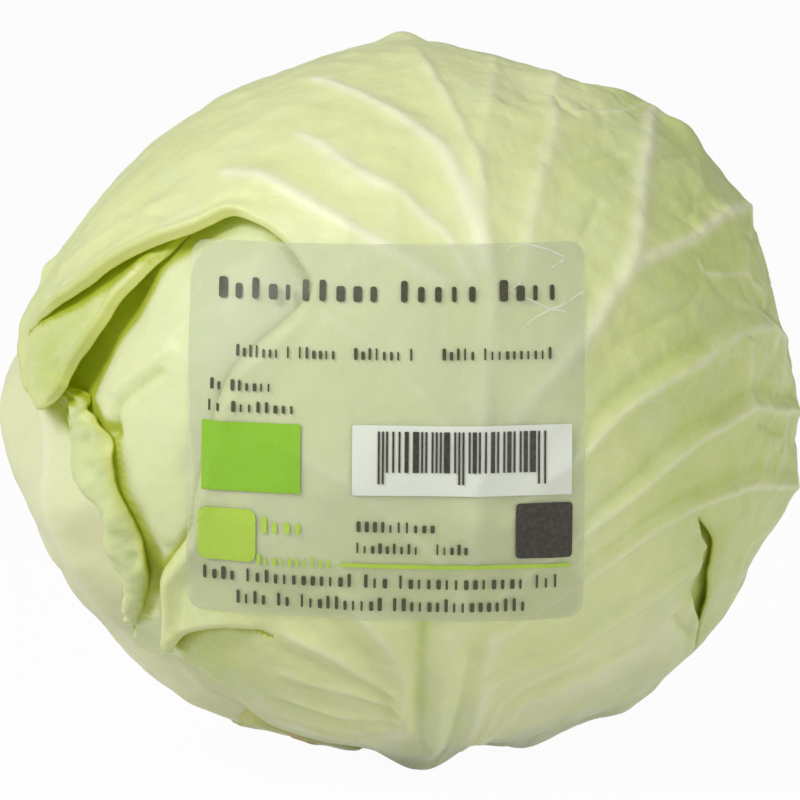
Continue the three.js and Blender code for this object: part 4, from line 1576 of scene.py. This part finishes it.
def rounded_box(x0: float, z0: float, x1: float, z1: float, radius: float, step: float) -> Array:
    """Return an anticlockwise rectangle with round corners.

    Args:
        x0: Left side.
        z0: Lower side.
        x1: Right side.
        z1: Upper side.
        radius: Corner radius.
        step: Longest distance between places.

    Returns:
        The loop's places as x and z.
    """
    places = []
    radius = min(radius, 0.45 * (x1 - x0), 0.45 * (z1 - z0))
    corners = ((x1, z0, -90.0), (x1, z1, 0.0), (x0, z1, 90.0), (x0, z0, 180.0))
    turns = max(2, round(radius * 1.6 / min(step, radius)) + 1)
    for x, z, start in corners:
        cx = x - math.copysign(radius, x - (x0 + x1) / 2)
        cz = z - math.copysign(radius, z - (z0 + z1) / 2)
        for k in range(turns + 1):
            angle = math.radians(start + 90.0 * k / turns)
            places.append((cx + radius * math.cos(angle), cz + radius * math.sin(angle)))
    loop = []
    for (ax, az), (bx, bz) in zip(places, places[1:] + places[:1]):
        count = max(1, math.ceil(math.hypot(bx - ax, bz - az) / step))
        loop += [(ax + (bx - ax) * k / count, az + (bz - az) * k / count) for k in range(count)]
    return np.array(loop)


class Ink(Enum):
    """The inks printed on the label."""

    TEXT = "text"
    GREEN = "green"
    LIME = "lime"
    WHITE = "white"
    BAR = "bar"


@dataclass
class Label:
    """A frosted clear film label with plain generic print."""

    centre_x: float = -2.5
    centre_z: float = 75.2
    half_width: float = 37.6
    half_height: float = 35.5
    corner: float = 3.0
    film: float = 0.1
    print_stand: float = 0.2
    left_pull: float = 1.0
    right_drop: float = 1.7
    print_thickness: float = 0.05
    step: float = 0.85
    seed: int = 17

    def drape(self, below: BVHTree) -> None:
        """Lay the label on the leaves."""
        low = (self.centre_x - self.half_width, self.centre_z - self.half_height)
        high = (self.centre_x + self.half_width, self.centre_z + self.half_height)
        self.surface = Drape(low, high)
        self.surface.lay(below)

    def sheet(self, rim: Array, stand: float, thickness: float) -> Shell:
        """Build a thin closed sheet that follows the label, which is pulled at its lower corners.

        Args:
            rim: Its outline as x and z.
            stand: Height of its outer side over the film's outer side.
            thickness: Its thickness.

        Returns:
            The sheet.
        """
        low = (self.centre_z + self.half_height - rim[:, 1]) / (2 * self.half_height)
        right = (rim[:, 0] - self.centre_x + self.half_width) / (2 * self.half_width)
        pull = [-self.left_pull * low * (1 - right), -self.right_drop * low * right]
        rim = rim + np.stack(pull, axis=1)
        inner = lattice([rim], self.step, 0.3)
        places = np.vstack([rim, inner])
        faces = triangles([rim], inner)
        ys = self.surface.forward(places)
        top = np.stack([places[:, 0], ys - stand, places[:, 1]], axis=1)
        under = top + np.array([0.0, thickness, 0.0])
        return close_shell([rim], top, faces, under, faces, {}, 1)

    def film_shell(self) -> Shell:
        """Build the film."""
        x0, x1 = self.centre_x - self.half_width, self.centre_x + self.half_width
        z0, z1 = self.centre_z - self.half_height, self.centre_z + self.half_height
        return self.sheet(rounded_box(x0, z0, x1, z1, self.corner, 0.8), 0.0, self.film)

    def patch(self, x0: float, z0: float, x1: float, z1: float, radius: float, over: int = 0) -> Shell:
        """Build one printed patch, placed from the label's middle.

        Args:
            x0: Left side.
            z0: Lower side.
            x1: Right side.
            z1: Upper side.
            radius: Corner radius.
            over: How many layers of ink lie under it.

        Returns:
            The patch.
        """
        x, z = self.centre_x, self.centre_z
        rim = rounded_box(x + x0, z + z0, x + x1, z + z1, radius, 1.1)
        return self.sheet(rim, self.print_stand * (1 + over), self.print_thickness)

    def words(self, x0: float, x1: float, z: float, height: float, pattern: tuple[int, ...]) -> list[Shell]:
        """Build a line of text as words of plain upright blocks.

        Args:
            x0: Left end.
            x1: Right end.
            z: Middle height.
            height: Height of the tallest blocks.
            pattern: Number of blocks in each word.

        Returns:
            The blocks.
        """
        unit = (x1 - x0) / (sum(pattern) + 0.8 * (len(pattern) - 1))
        rng = np.random.default_rng(self.seed + round(10 * (z + 40)))
        left = x0
        made = []
        for count in pattern:
            for k in range(count):
                high = height * (1.0 if k == 0 else float(rng.choice([0.72, 0.72, 0.72, 1.0])))
                wide = unit * float(rng.choice([0.26, 0.38, 0.5]))
                low = z - height / 2
                made.append(self.patch(left, low, left + wide, low + high, 0.12 * height))
                left += unit
            left += 0.8 * unit
        return made

    def bars(self, x0: float, x1: float, z0: float, z1: float, longer: float) -> list[Shell]:
        """Build a row of upright bars of uneven widths.

        Args:
            x0: Left end.
            x1: Right end.
            z0: Lower end of the short bars.
            z1: Upper end.
            longer: How much further down the outer and middle pairs reach.

        Returns:
            The bars.
        """
        rng = np.random.default_rng(self.seed)
        count = 30
        guards = (0, 1, 14, 15, 28, 29)
        widths = rng.choice([1.0, 1.0, 2.0, 3.0], size=count)
        gaps = rng.choice([1.0, 1.0, 2.0, 2.0], size=count)
        widths[list(guards)] = 1.0
        unit = (x1 - x0) / (widths.sum() + gaps[:-1].sum())
        made = []
        left = x0
        for i in range(count):
            right = left + unit * widths[i]
            low = z0 - (longer if i in guards else 0.0)
            made.append(self.patch(left, low, right, z1, 0.05, 1))
            left = right + unit * gaps[i]
        return made

    def print_shells(self) -> dict[Ink, list[Shell]]:
        """Build all the print.

        Returns:
            The patches of each ink.
        """
        lines = (
            (-31.9, 34.2, 27.0, 3.9, (10, 5, 4)),
            (-28.3, -8.9, 15.6, 2.2, (7, 1, 6)),
            (-6.0, 5.9, 15.6, 2.2, (7, 1)),
            (10.6, 32.0, 15.6, 2.2, (5, 10)),
            (-33.2, -20.8, 9.2, 2.1, (2, 6)),
            (-33.5, -16.3, 5.2, 2.1, (2, 8)),
            (-5.3, 10.1, -16.8, 2.1, (10,)),
            (-5.3, 7.0, -21.0, 2.1, (9,)),
            (9.7, 16.2, -21.0, 2.1, (5,)),
            (-34.4, 33.7, -27.6, 2.7, (4, 12, 3, 14, 3)),
            (-28.0, 27.4, -32.2, 2.7, (4, 2, 10, 16)),
        )
        text = [block for line in lines for block in self.words(*line)]
        green = [self.patch(-34.7, -10.9, -15.9, 2.3, 0.12)]
        lime = [self.patch(-35.4, -24.9, -24.3, -14.4, 1.6)]
        lime += self.words(-23.3, -14.6, -17.3, 3.2, (4,))
        lime += self.words(-24.1, -9.4, -24.2, 2.2, (10,))
        lime += [self.patch(-8.3, -24.9, 35.0, -24.1, 0.3)]
        white = [self.patch(-6.2, -10.7, 35.1, 2.5, 0.35)]
        badge = [self.patch(24.6, -22.9, 35.3, -12.2, 0.7)]
        bars = self.bars(-1.4, 30.2, -6.3, 1.4, 2.2)
        return {Ink.TEXT: text, Ink.GREEN: green, Ink.LIME: lime, Ink.WHITE: white, Ink.BAR: bars + badge}


# ---- finishes ----

Colour = tuple[float, float, float]
Input = Socket | float | int | Colour


class Graph:
    """Adds and links shader nodes in one node tree."""

    def __init__(self, tree: bpy.types.NodeTree) -> None:
        """Keep the tree that the nodes go into."""
        self.tree = tree

    def put(self, socket: Socket, value: Input) -> None:
        """Feed a socket.

        Args:
            socket: The socket.
            value: An output to link it to, or its value.
        """
        if isinstance(value, Socket):
            self.tree.links.new(value, socket)
        elif isinstance(value, tuple) and len(socket.default_value) == 4:
            socket.default_value = (*value, 1.0)
        else:
            socket.default_value = value

    def add(
        self, kind: str, inputs: dict[str | int, Input] | None = None, **settings: object
    ) -> bpy.types.Node:
        """Add a node.

        Args:
            kind: The node's type, without its ShaderNode prefix.
            inputs: Values or outputs for its sockets, by name or number.
            **settings: The node's own settings.

        Returns:
            The node.
        """
        node = self.tree.nodes.new("ShaderNode" + kind)
        for key, value in settings.items():
            setattr(node, key, value)
        self.fill(node, inputs or {})
        return node

    def fill(self, node: bpy.types.Node, inputs: dict[str | int, Input]) -> None:
        """Give a node's sockets their values or links."""
        for key, value in inputs.items():
            self.put(node.inputs[key], value)

    def sway(self, onto: Input, noise: Input, amount: float) -> Socket:
        """Return a value that noise pushes up and down."""
        return self.math("MULTIPLY_ADD", self.math("SUBTRACT", noise, 0.5), amount, onto)

    def math(self, operation: str, a: Input, b: Input = 0.0, c: Input = 0.0) -> Socket:
        """Return a math node's result."""
        return self.add("Math", {0: a, 1: b, 2: c}, operation=operation).outputs[0]

    def times(self, a: Input, b: Input) -> Socket:
        """Return the product of two values."""
        return self.math("MULTIPLY", a, b)

    def ramp(self, value: Input, low: float, high: float) -> Socket:
        """Return a smooth step of the value from low to high."""
        inputs = {"Value": value, "From Min": low, "From Max": high}
        node = self.add("MapRange", inputs, interpolation_type="SMOOTHSTEP")
        return node.outputs["Result"]

    def blend(self, share: Input, a: Input, b: Input, mode: str = "MIX") -> Socket:
        """Return a mix of two colours."""
        node = self.add("Mix", {0: share, 6: a, 7: b}, data_type="RGBA", blend_type=mode)
        return node.outputs[2]

    def noise(
        self, where: Input, size_mm: float, detail: float = 2.0, roughness: float = 0.5
    ) -> Socket:
        """Return noise whose swellings are about size_mm across."""
        inputs = {"Vector": where, "Scale": 1000.0 / size_mm, "Detail": detail, "Roughness": roughness}
        return self.add("TexNoise", inputs).outputs["Fac"]

    def bump(self, height: Input, depth_mm: float, strength: float) -> Socket:
        """Return the normal of a surface with a fine relief."""
        inputs = {"Height": height, "Distance": depth_mm * METRES, "Strength": strength}
        return self.add("Bump", inputs).outputs["Normal"]

    def mask(self, name: str) -> Socket:
        """Return a vertex mask of the mesh."""
        return self.add("Attribute", attribute_name=name).outputs["Fac"]


def new_material(name: str) -> tuple[Material, Graph, bpy.types.Node]:
    """Start a material, and return it with its graph and its main shader."""
    material = bpy.data.materials.new(name)
    material.use_nodes = True
    return material, Graph(material.node_tree), material.node_tree.nodes["Principled BSDF"]


def new_group(name: str, inputs: dict[str, Input], outputs: dict[str, str]) -> tuple[Graph, dict, dict]:
    """Start a shader node group.

    Args:
        name: The group's name.
        inputs: Names and usual values of its inputs.
        outputs: Names and socket types of its outputs.

    Returns:
        Its graph, its inputs' sockets and its outputs' sockets.
    """
    tree = bpy.data.node_groups.new(name, "ShaderNodeTree")
    for key, value in inputs.items():
        kind = "NodeSocketColor" if isinstance(value, tuple) else "NodeSocketFloat"
        socket = tree.interface.new_socket(key, in_out="INPUT", socket_type=kind)
        socket.default_value = (*value, 1.0) if isinstance(value, tuple) else value
    for key, kind in outputs.items():
        tree.interface.new_socket(key, in_out="OUTPUT", socket_type=kind)
    source = tree.nodes.new("NodeGroupInput")
    sink = tree.nodes.new("NodeGroupOutput")
    return Graph(tree), source.outputs, sink.inputs


def leaf_blade_group() -> bpy.types.NodeTree:
    """Build the shared effect of a cabbage leaf's skin: its own colour, veins, fine net, bloom and grain, and
    painted shade in the folds, in the creases and along curled edges.

    Returns:
        The node group.
    """
    # The olive input after the leaf's own colours is the colour of the painted shade in the folds.
    graph, given, out = new_group(
        "leaf_blade",
        {**LeafFinish("usual").values(), "Fold Shade": (0.39, 0.45, 0.015)},
        {"Colour": "NodeSocketColor", "Roughness": "NodeSocketFloat", "Height": "NodeSocketFloat"},
    )
    where = graph.add("TexCoord").outputs["Object"]
    warp = graph.add("TexNoise", {"Vector": where, "Scale": 120.0, "Detail": 2.0}).outputs["Color"]
    push = graph.add("VectorMath", {0: warp, 1: (0.5, 0.5, 0.5)}, operation="SUBTRACT").outputs[0]
    push = graph.add("VectorMath", {0: push, "Scale": 0.006}, operation="SCALE").outputs[0]
    bent = graph.add("VectorMath", {0: where, 1: push}, operation="ADD").outputs[0]
    nets = []
    for scale, width in ((150.0, 0.1), (420.0, 0.12)):
        cells = {"Vector": bent, "Scale": scale}
        edge = graph.add("TexVoronoi", cells, feature="DISTANCE_TO_EDGE").outputs["Distance"]
        nets.append(graph.math("SUBTRACT", 1.0, graph.ramp(edge, 0.0, width)))
    net, fine = nets
    patchy = graph.ramp(graph.noise(where, 26.0), 0.36, 0.66)
    broad = graph.noise(where, 34.0, 3.0, 0.55)
    small = graph.noise(where, 7.0, 3.0, 0.6)
    net_all = graph.times(graph.math("MULTIPLY_ADD", fine, 0.35, net), patchy)
    net_all = graph.times(net_all, given["Net"])

    # The greener mask mixes in the second green: the leaf's own patchy colour, and painted shade.
    vein, green_and_shade = graph.mask("vein"), graph.mask("green_and_shade")
    green_and_shade_share = graph.sway(graph.sway(green_and_shade, broad, 1.5), small, 0.5)
    green_and_shade_share = graph.add("Clamp", {"Value": green_and_shade_share}).outputs[0]
    colour = graph.blend(green_and_shade_share, given["Blade"], given["Green And Shade"])
    colour = graph.blend(graph.times(net_all, 0.9), colour, given["Vein"])
    streak = graph.times(graph.ramp(graph.sway(vein, small, 0.5), 0.12, 0.95), 0.9)
    colour = graph.blend(streak, colour, given["Vein"])
    base = graph.times(graph.mask("base"), 0.85)
    round_stalk = graph.add("VectorMath", {0: where, 1: (1.0, 1.0, 0.02)}, operation="MULTIPLY").outputs[0]
    round_stalk = graph.add("VectorMath", {0: round_stalk}, operation="NORMALIZE").outputs[0]
    fibre = graph.add("TexNoise", {"Vector": round_stalk, "Scale": 13.0, "Detail": 3.0}).outputs["Fac"]
    fibre = graph.times(graph.ramp(fibre, 0.36, 0.62), 0.6)
    colour = graph.blend(base, colour, graph.blend(fibre, given["Base"], given["Blade"]))
    bloom = graph.ramp(graph.noise(where, 17.0, 5.0, 0.62), 0.44, 0.72)
    bloom = graph.times(bloom, given["Bloom Share"])
    colour = graph.blend(bloom, colour, given["Bloom"])
    # Painted shade along the edges that curl under, over the margin's own yellower colour.
    colour = graph.blend(graph.times(graph.mask("lip"), 0.7), colour, given["Lip"])
    # Painted shade: olive where the leaves close over each other in the folds.
    colour = graph.blend(graph.times(graph.mask("fold_shade"), 0.95), colour, given["Fold Shade"])
    specks = graph.ramp(graph.noise(where, 1.6, 1.0), 0.80, 0.86)
    colour = graph.blend(graph.times(specks, 0.35), colour, (0.34, 0.30, 0.12))
    graph.put(out["Colour"], colour)

    graph.put(out["Roughness"], graph.math("MULTIPLY_ADD", bloom, 0.25, graph.sway(0.43, small, 0.22)))
    height = graph.times(graph.times(fibre, base), 1.6)
    grain, dust = graph.noise(where, 1.3, 2.0), graph.noise(where, 0.4, 1.0)
    for relief, amount in ((small, 0.9), (grain, 0.32), (dust, 0.1)):
        height = graph.math("MULTIPLY_ADD", relief, amount, height)
    graph.put(out["Height"], height)
    return graph.tree


@dataclass(frozen=True)
class LeafFinish:
    """The waxy satin skin of a cabbage leaf."""

    name: str
    blade: Colour = (0.71, 0.755, 0.375)
    # Greener colour: the leaf's own, and also painted shade.
    green_and_shade: Colour = (0.52, 0.60, 0.18)
    vein: Colour = (0.80, 0.81, 0.56)
    base: Colour = (0.78, 0.80, 0.57)
    # Yellow-olive of the edges: the margin's own colour, and painted shade where an edge curls under.
    lip: Colour = (0.53, 0.56, 0.11)
    bloom: Colour = (0.70, 0.75, 0.55)
    net: float = 0.15
    bloom_share: float = 0.3
    cut: Colour | None = None
    glow: Colour = (0.46, 0.50, 0.08)
    relief_mm: float = 0.5

    def values(self) -> dict[str, Input]:
        """Return the values that the shared leaf group takes."""
        return {
            "Blade": self.blade, "Green And Shade": self.green_and_shade, "Vein": self.vein, "Base": self.base, "Lip": self.lip,
            "Bloom": self.bloom, "Net": self.net, "Bloom Share": self.bloom_share,
        }

    def material(self, blade_group: bpy.types.NodeTree) -> Material:
        """Build the leaf's finish.

        Args:
            blade_group: The shared leaf group.

        Returns:
            The material.
        """
        material, graph, shader = new_material(self.name)
        skin = graph.add("Group", self.values(), node_tree=blade_group)
        colour, rough = skin.outputs["Colour"], skin.outputs["Roughness"]
        if self.cut:
            where = graph.add("TexCoord").outputs["Object"]
            dry = graph.ramp(graph.noise(where, 1.8, 3.0), 0.3, 0.7)
            dried = graph.blend(dry, self.cut, (0.66, 0.52, 0.30))
            colour = graph.blend(graph.mask("cut"), colour, dried)
            rough = graph.math("MULTIPLY_ADD", graph.mask("cut"), 0.3, rough)
        normal = graph.bump(skin.outputs["Height"], self.relief_mm, 0.5)
        graph.fill(shader, {
            "Base Color": colour, "Roughness": rough, "Normal": normal, "Specular IOR Level": 0.4,
            "Subsurface Weight": 0.12, "Subsurface Radius": (1.0, 1.0, 0.35), "Subsurface Scale": 0.0025,
        })
        tinted = graph.add("BsdfTransparent", {"Color": self.glow}).outputs[0]
        lamp_ray = graph.add("LightPath").outputs["Is Shadow Ray"]
        mixed = graph.add("MixShader", {0: lamp_ray, 1: shader.outputs[0], 2: tinted}).outputs[0]
        graph.put(material.node_tree.nodes["Material Output"].inputs["Surface"], mixed)
        return material


@dataclass(frozen=True)
class StalkFinish:
    """Pale stalk skin, and a cut face with rings of fibres."""

    skin: Colour = (0.70, 0.71, 0.48)
    pith: Colour = (0.80, 0.78, 0.60)
    ring: Colour = (0.60, 0.58, 0.34)
    dry: Colour = (0.55, 0.45, 0.27)
    radius_mm: float = 16.5

    def material(self) -> Material:
        """Build the stalk's finish.

        Returns:
            The material.
        """
        material, graph, shader = new_material("cut_stalk")
        where = graph.add("TexCoord").outputs["Object"]
        parts = graph.add("SeparateXYZ", {0: where})
        flat = graph.add("CombineXYZ", {0: parts.outputs[0], 1: parts.outputs[1]}).outputs[0]
        away = graph.add("VectorMath", {0: flat}, operation="LENGTH").outputs["Value"]
        away = graph.times(away, 1000.0 / self.radius_mm)
        away = graph.sway(away, graph.noise(where, 6.0, 3.0), 0.12)
        ring = graph.times(graph.ramp(away, 0.60, 0.68), graph.ramp(away, 0.84, 0.76))
        grain = graph.noise(where, 0.9, 3.0)
        pith = graph.blend(graph.ramp(grain, 0.35, 0.7), self.pith, (0.70, 0.67, 0.46))
        face = graph.blend(ring, pith, self.ring)
        dried = graph.times(graph.ramp(graph.noise(where, 9.0, 4.0), 0.45, 0.7), 0.6)
        dried = graph.math("MAXIMUM", dried, graph.ramp(away, 0.90, 1.0))
        face = graph.blend(dried, face, self.dry)
        skin = graph.blend(graph.ramp(graph.noise(where, 5.0, 3.0), 0.4, 0.7), self.skin, (0.62, 0.63, 0.36))
        colour = graph.blend(graph.mask("cut"), skin, face)
        height = graph.math("MULTIPLY_ADD", grain, 0.6, ring)
        rough = graph.math("MULTIPLY_ADD", grain, 0.25, 0.6)
        normal = graph.bump(height, 0.4, 0.6)
        graph.fill(shader, {"Base Color": colour, "Roughness": rough, "Normal": normal})
        return material


@dataclass(frozen=True)
class FilmFinish:
    """Frosted clear label film, see-through but milky."""

    colour: Colour = (0.64, 0.68, 0.49)
    cover: float = 0.24

    def material(self) -> Material:
        """Build the film's finish.

        Returns:
            The material.
        """
        material, graph, shader = new_material("label_film")
        where = graph.add("TexCoord").outputs["Object"]
        cloud = graph.noise(where, 18.0, 4.0, 0.6)
        grain = graph.noise(where, 0.5, 1.0)
        colour = graph.blend(cloud, self.colour, (0.72, 0.76, 0.62))
        parts = graph.add("SeparateXYZ", {0: where})
        corner = graph.ramp(parts.outputs[0], 0.014, 0.024)
        corner = graph.times(corner, graph.ramp(parts.outputs[2], 0.093, 0.098))
        corner = graph.times(corner, graph.ramp(graph.noise(where, 7.0), 0.45, 0.55))
        crease = 0.0
        for turn, scale in ((0.5, 45.0), (-0.35, 38.0)):
            drawn = graph.add("Mapping", {"Vector": where, "Rotation": (0.0, turn, 0.0)}).outputs[0]
            bands = {"Vector": drawn, "Scale": scale, "Distortion": 4.0, "Detail Scale": 0.8}
            bands = graph.add("TexWave", bands, bands_direction="Z").outputs["Fac"]
            crease = graph.math("MAXIMUM", graph.ramp(bands, 0.993, 0.9995), crease)
        crease = graph.times(crease, corner)
        colour = graph.blend(crease, colour, (0.85, 0.86, 0.80))
        lines = graph.add("Mapping", {"Vector": where, "Scale": (1.0, 1.0, 0.25)}).outputs[0]
        lines = graph.noise(lines, 3.0, 2.0)
        height = graph.math("MULTIPLY_ADD", grain, 0.25, lines)
        rough = graph.math("MULTIPLY_ADD", cloud, 0.2, 0.45)
        cover = graph.math("MULTIPLY_ADD", cloud, 0.12, self.cover - 0.06)
        graph.fill(shader, {
            "Base Color": colour, "Roughness": rough, "Specular IOR Level": 0.3,
            "Alpha": graph.math("MULTIPLY_ADD", crease, 0.22, cover), "Normal": graph.bump(height, 0.12, 0.5),
        })
        return material


@dataclass(frozen=True)
class InkFinish:
    """A printed ink with slightly uneven cover."""

    ink: Ink
    colour: Colour
    spread: float = 0.12

    def material(self) -> Material:
        """Build the ink's finish.

        Returns:
            The material.
        """
        material, graph, shader = new_material("label_" + self.ink.value)
        where = graph.add("TexCoord").outputs["Object"]
        worn = graph.noise(where, 0.8, 2.0)
        paler = tuple(c + self.spread * (0.75 - c) for c in self.colour)
        colour = graph.blend(graph.ramp(worn, 0.35, 0.75), self.colour, paler)
        rough = graph.math("MULTIPLY_ADD", worn, 0.2, 0.4)
        normal = graph.bump(graph.noise(where, 0.4, 1.0), 0.03, 0.4)
        graph.fill(shader, {"Base Color": colour, "Roughness": rough, "Normal": normal})
        return material


INKS = (
    InkFinish(Ink.TEXT, (0.050, 0.046, 0.016), 0.03),
    InkFinish(Ink.GREEN, (0.235, 0.50, 0.012), 0.03),
    InkFinish(Ink.LIME, (0.42, 0.62, 0.05), 0.06),
    InkFinish(Ink.WHITE, (0.72, 0.76, 0.66), 0.05),
    InkFinish(Ink.BAR, (0.022, 0.016, 0.006), 0.04),
)


# ---- the studio ----


@dataclass(frozen=True)
class Studio:
    """The white floor, the soft lights and the camera."""

    target: tuple[float, float, float] = (0.0, 0.0, 0.074)
    distance: float = 1.0
    elevation: float = 6.0
    lens: float = 221.0
    key_place: tuple[float, float, float] = (-0.88, -0.72, 0.93)
    key_size: float = 0.6
    key_power: float = 14.0
    fill_place: tuple[float, float, float] = (0.98, -0.92, 0.08)
    fill_size: float = 0.9
    fill_power: float = 8.7
    ambient: float = 0.35

    def floor(self) -> bpy.types.Object:
        """Make the pale floor, white to the camera but for the head's faint shadow.

        Returns:
            The floor.
        """
        bpy.ops.mesh.primitive_plane_add(size=14.0)
        floor = bpy.context.object
        floor.name = "studio_floor"
        material, graph, shader = new_material("studio_floor")
        graph.fill(shader, {"Base Color": (0.70, 0.70, 0.66), "Roughness": 0.8, "Specular IOR Level": 0.1})
        glow = graph.add("Emission", {"Color": (1.0, 1.0, 1.0), "Strength": 1.0}).outputs[0]
        paths = graph.add("LightPath").outputs
        seen = graph.math("MAXIMUM", paths["Is Camera Ray"], paths["Is Glossy Ray"])
        seen = graph.math("MAXIMUM", seen, paths["Is Transmission Ray"])
        share = graph.times(seen, 0.96)
        mixed = graph.add("MixShader", {0: share, 1: shader.outputs[0], 2: glow}).outputs[0]
        graph.put(material.node_tree.nodes["Material Output"].inputs["Surface"], mixed)
        floor.data.materials.append(material)
        return floor

    def world(self) -> None:
        """Light the scene softly from all round, white to the camera."""
        world = bpy.data.worlds.new("studio")
        bpy.context.scene.world = world
        world.use_nodes = True
        graph = Graph(world.node_tree)
        back = world.node_tree.nodes["Background"]
        paths = graph.add("LightPath").outputs
        seen = graph.math("MAXIMUM", paths["Is Camera Ray"], paths["Is Transmission Ray"])
        strength = graph.math("MULTIPLY_ADD", seen, 1.0 - self.ambient, self.ambient)
        graph.put(back.inputs["Color"], (1.0, 1.0, 1.0))
        graph.put(back.inputs["Strength"], strength)

    def lamp(self, name: str, place: tuple[float, float, float], size: float, power: float) -> None:
        """Hang a square soft lamp that faces the head.

        Args:
            name: The lamp's name.
            place: Where it hangs.
            size: Length of its sides.
            power: Its power in watts.
        """
        data = bpy.data.lights.new(name, "AREA")
        data.shape = "SQUARE"
        data.size = size
        data.energy = power
        lamp = bpy.data.objects.new(name, data)
        lamp.location = place
        lamp.rotation_euler = (Vector(self.target) - Vector(place)).to_track_quat("-Z", "Y").to_euler()
        bpy.context.scene.collection.objects.link(lamp)

    def camera(self) -> None:
        """Set up the camera."""
        data = bpy.data.cameras.new("camera")
        data.lens = self.lens
        data.sensor_width = 36.0
        camera = bpy.data.objects.new("camera", data)
        tilt = math.radians(self.elevation)
        target = Vector(self.target)
        camera.location = target + Vector((0.0, -math.cos(tilt), math.sin(tilt))) * self.distance
        camera.rotation_euler = (math.pi / 2 - tilt, 0.0, 0.0)
        bpy.context.scene.collection.objects.link(camera)
        bpy.context.scene.camera = camera

    def build(self) -> None:
        """Build the whole studio."""
        self.floor()
        self.world()
        self.lamp("key_lamp", self.key_place, self.key_size, self.key_power)
        self.lamp("fill_lamp", self.fill_place, self.fill_size, self.fill_power)
        self.camera()
        bpy.context.scene.view_settings.view_transform = "Standard"


# ---- the whole head ----


@dataclass
class Cabbage:
    """The head with all its leaves, its stalk and its label."""

    def leaves(self) -> dict[str, Leaf]:
        """Describe the leaves.

        Returns:
            The leaves by name, the outermost first.
        """
        front = front_leaf()
        back_left = back_left_leaf([front])
        right = right_leaf([front, back_left])
        left = left_leaf([front, back_left, right])
        back_right = back_right_leaf([front, back_left, right, left])
        return {leaf.name: leaf for leaf in (front, back_left, right, left, back_right)}

    def trimmed_bases(self) -> list[TrimmedBase]:
        """Describe what is left of the leaves that were cut away.

        Returns:
            Their bases.
        """
        return [
            TrimmedBase("trimmed_base_1", -51, -74, 2.8, 6.3, 1.2, stand=-1.3, seed=61),
            TrimmedBase("trimmed_base_2", -69, -69, 5.5, 7.0, 1.0, stand=-1.5, brown=0.2, seed=62),
            TrimmedBase("trimmed_base_3", 118, -74, 9.0, 9.5, 2.0, stand=-1.8, seed=63),
            TrimmedBase("trimmed_base_4", -150, -74, 8.0, 8.5, 1.8, seed=64),
        ]

    def finishes(self) -> dict[str, Material]:
        """Build the leaf finishes.

        Returns:
            The materials by name.
        """
        group = leaf_blade_group()
        made = (
            LeafFinish("front_leaf_skin"),
            LeafFinish("outer_leaf_skin", blade=(0.69, 0.75, 0.40), green_and_shade=(0.54, 0.62, 0.24)),
            LeafFinish("pale_leaf_skin", blade=(0.72, 0.77, 0.43), green_and_shade=(0.60, 0.68, 0.30)),
            LeafFinish(
                "white_leaf_skin", blade=(0.76, 0.77, 0.47), green_and_shade=(0.70, 0.72, 0.40), base=(0.79, 0.79, 0.55),
            ),
            LeafFinish("heart_skin", blade=(0.62, 0.70, 0.24), green_and_shade=(0.50, 0.60, 0.14)),
            LeafFinish("leaf_base_skin", blade=(0.64, 0.70, 0.36), cut=(0.60, 0.42, 0.20)),
        )
        return {finish.name: finish.material(group) for finish in made}

    def build(self) -> None:
        """Build every piece and dress it."""
        skins = self.finishes()
        leaves = self.leaves()
        shells = {}
        wear = {
            "front_leaf": "front_leaf_skin",
            "back_left_leaf": "outer_leaf_skin",
            "right_leaf": "pale_leaf_skin",
            "left_leaf": "white_leaf_skin",
            "back_right_leaf": "outer_leaf_skin",
        }
        for name, leaf in leaves.items():
            shells[name] = leaf.shell()
        roll = RolledEdge(leaves["right_leaf"]).shell()
        shells["right_leaf_roll"] = roll
        paint_fold_shade(list(shells.values()))
        for name in leaves:
            self.place(shells[name], name + "_blade", skins[wear[name]], "leaf", name)
        self.place(roll, "right_leaf_rolled_edge", skins["pale_leaf_skin"], "leaf")
        heart = Heart(list(leaves.values())).shell()
        self.place(heart, "heart_leaves", skins["heart_skin"], "heart_leaf", "heart")
        stalk = Stalk().shell()
        self.place(stalk, "stalk_cut", StalkFinish().material(), "cut_stalk", "stalk")
        for base in self.trimmed_bases():
            self.place(base.shell(), base.name + "_sheet", skins["leaf_base_skin"], "leaf_base", base.name)
        below = [shells[name] for name in ("front_leaf", "right_leaf", "left_leaf", "right_leaf_roll")]
        self.dress_label(below)

    def dress_label(self, below: list[Shell]) -> None:
        """Build the label and its print.

        Args:
            below: The leaves that it lies on.
        """
        whole = join(below)
        label = Label()
        label.drape(BVHTree.FromPolygons(whole.points.tolist(), whole.faces.tolist()))
        self.place(label.film_shell(), "label_sheet", FilmFinish().material(), "label_film", "label")
        finishes = {finish.ink: finish.material() for finish in INKS}
        for ink, patches in label.print_shells().items():
            self.place(join(patches), "label_print_" + ink.value, finishes[ink], "label_film")

    def place(self, shell: Shell, name: str, material: Material, slot: str, node: str = "") -> None:
        """Put a piece on the head.

        Args:
            shell: Its mesh.
            name: Its name.
            material: Its finish.
            slot: Not used.
            node: The solid that it stands for, if any.
        """
        piece = shell.to_object(name, material, not name.startswith("label_print"))
        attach(piece, BODY)
        if node:
            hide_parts(node)
        log.info("%s: %d triangles", name, len(shell.faces))


def main() -> None:
    """Build the cabbage and its studio."""
    logging.basicConfig(level=logging.INFO, format="%(name)s %(message)s")
    Studio().build()
    Cabbage().build()


if __name__ == "__main__":
    main()
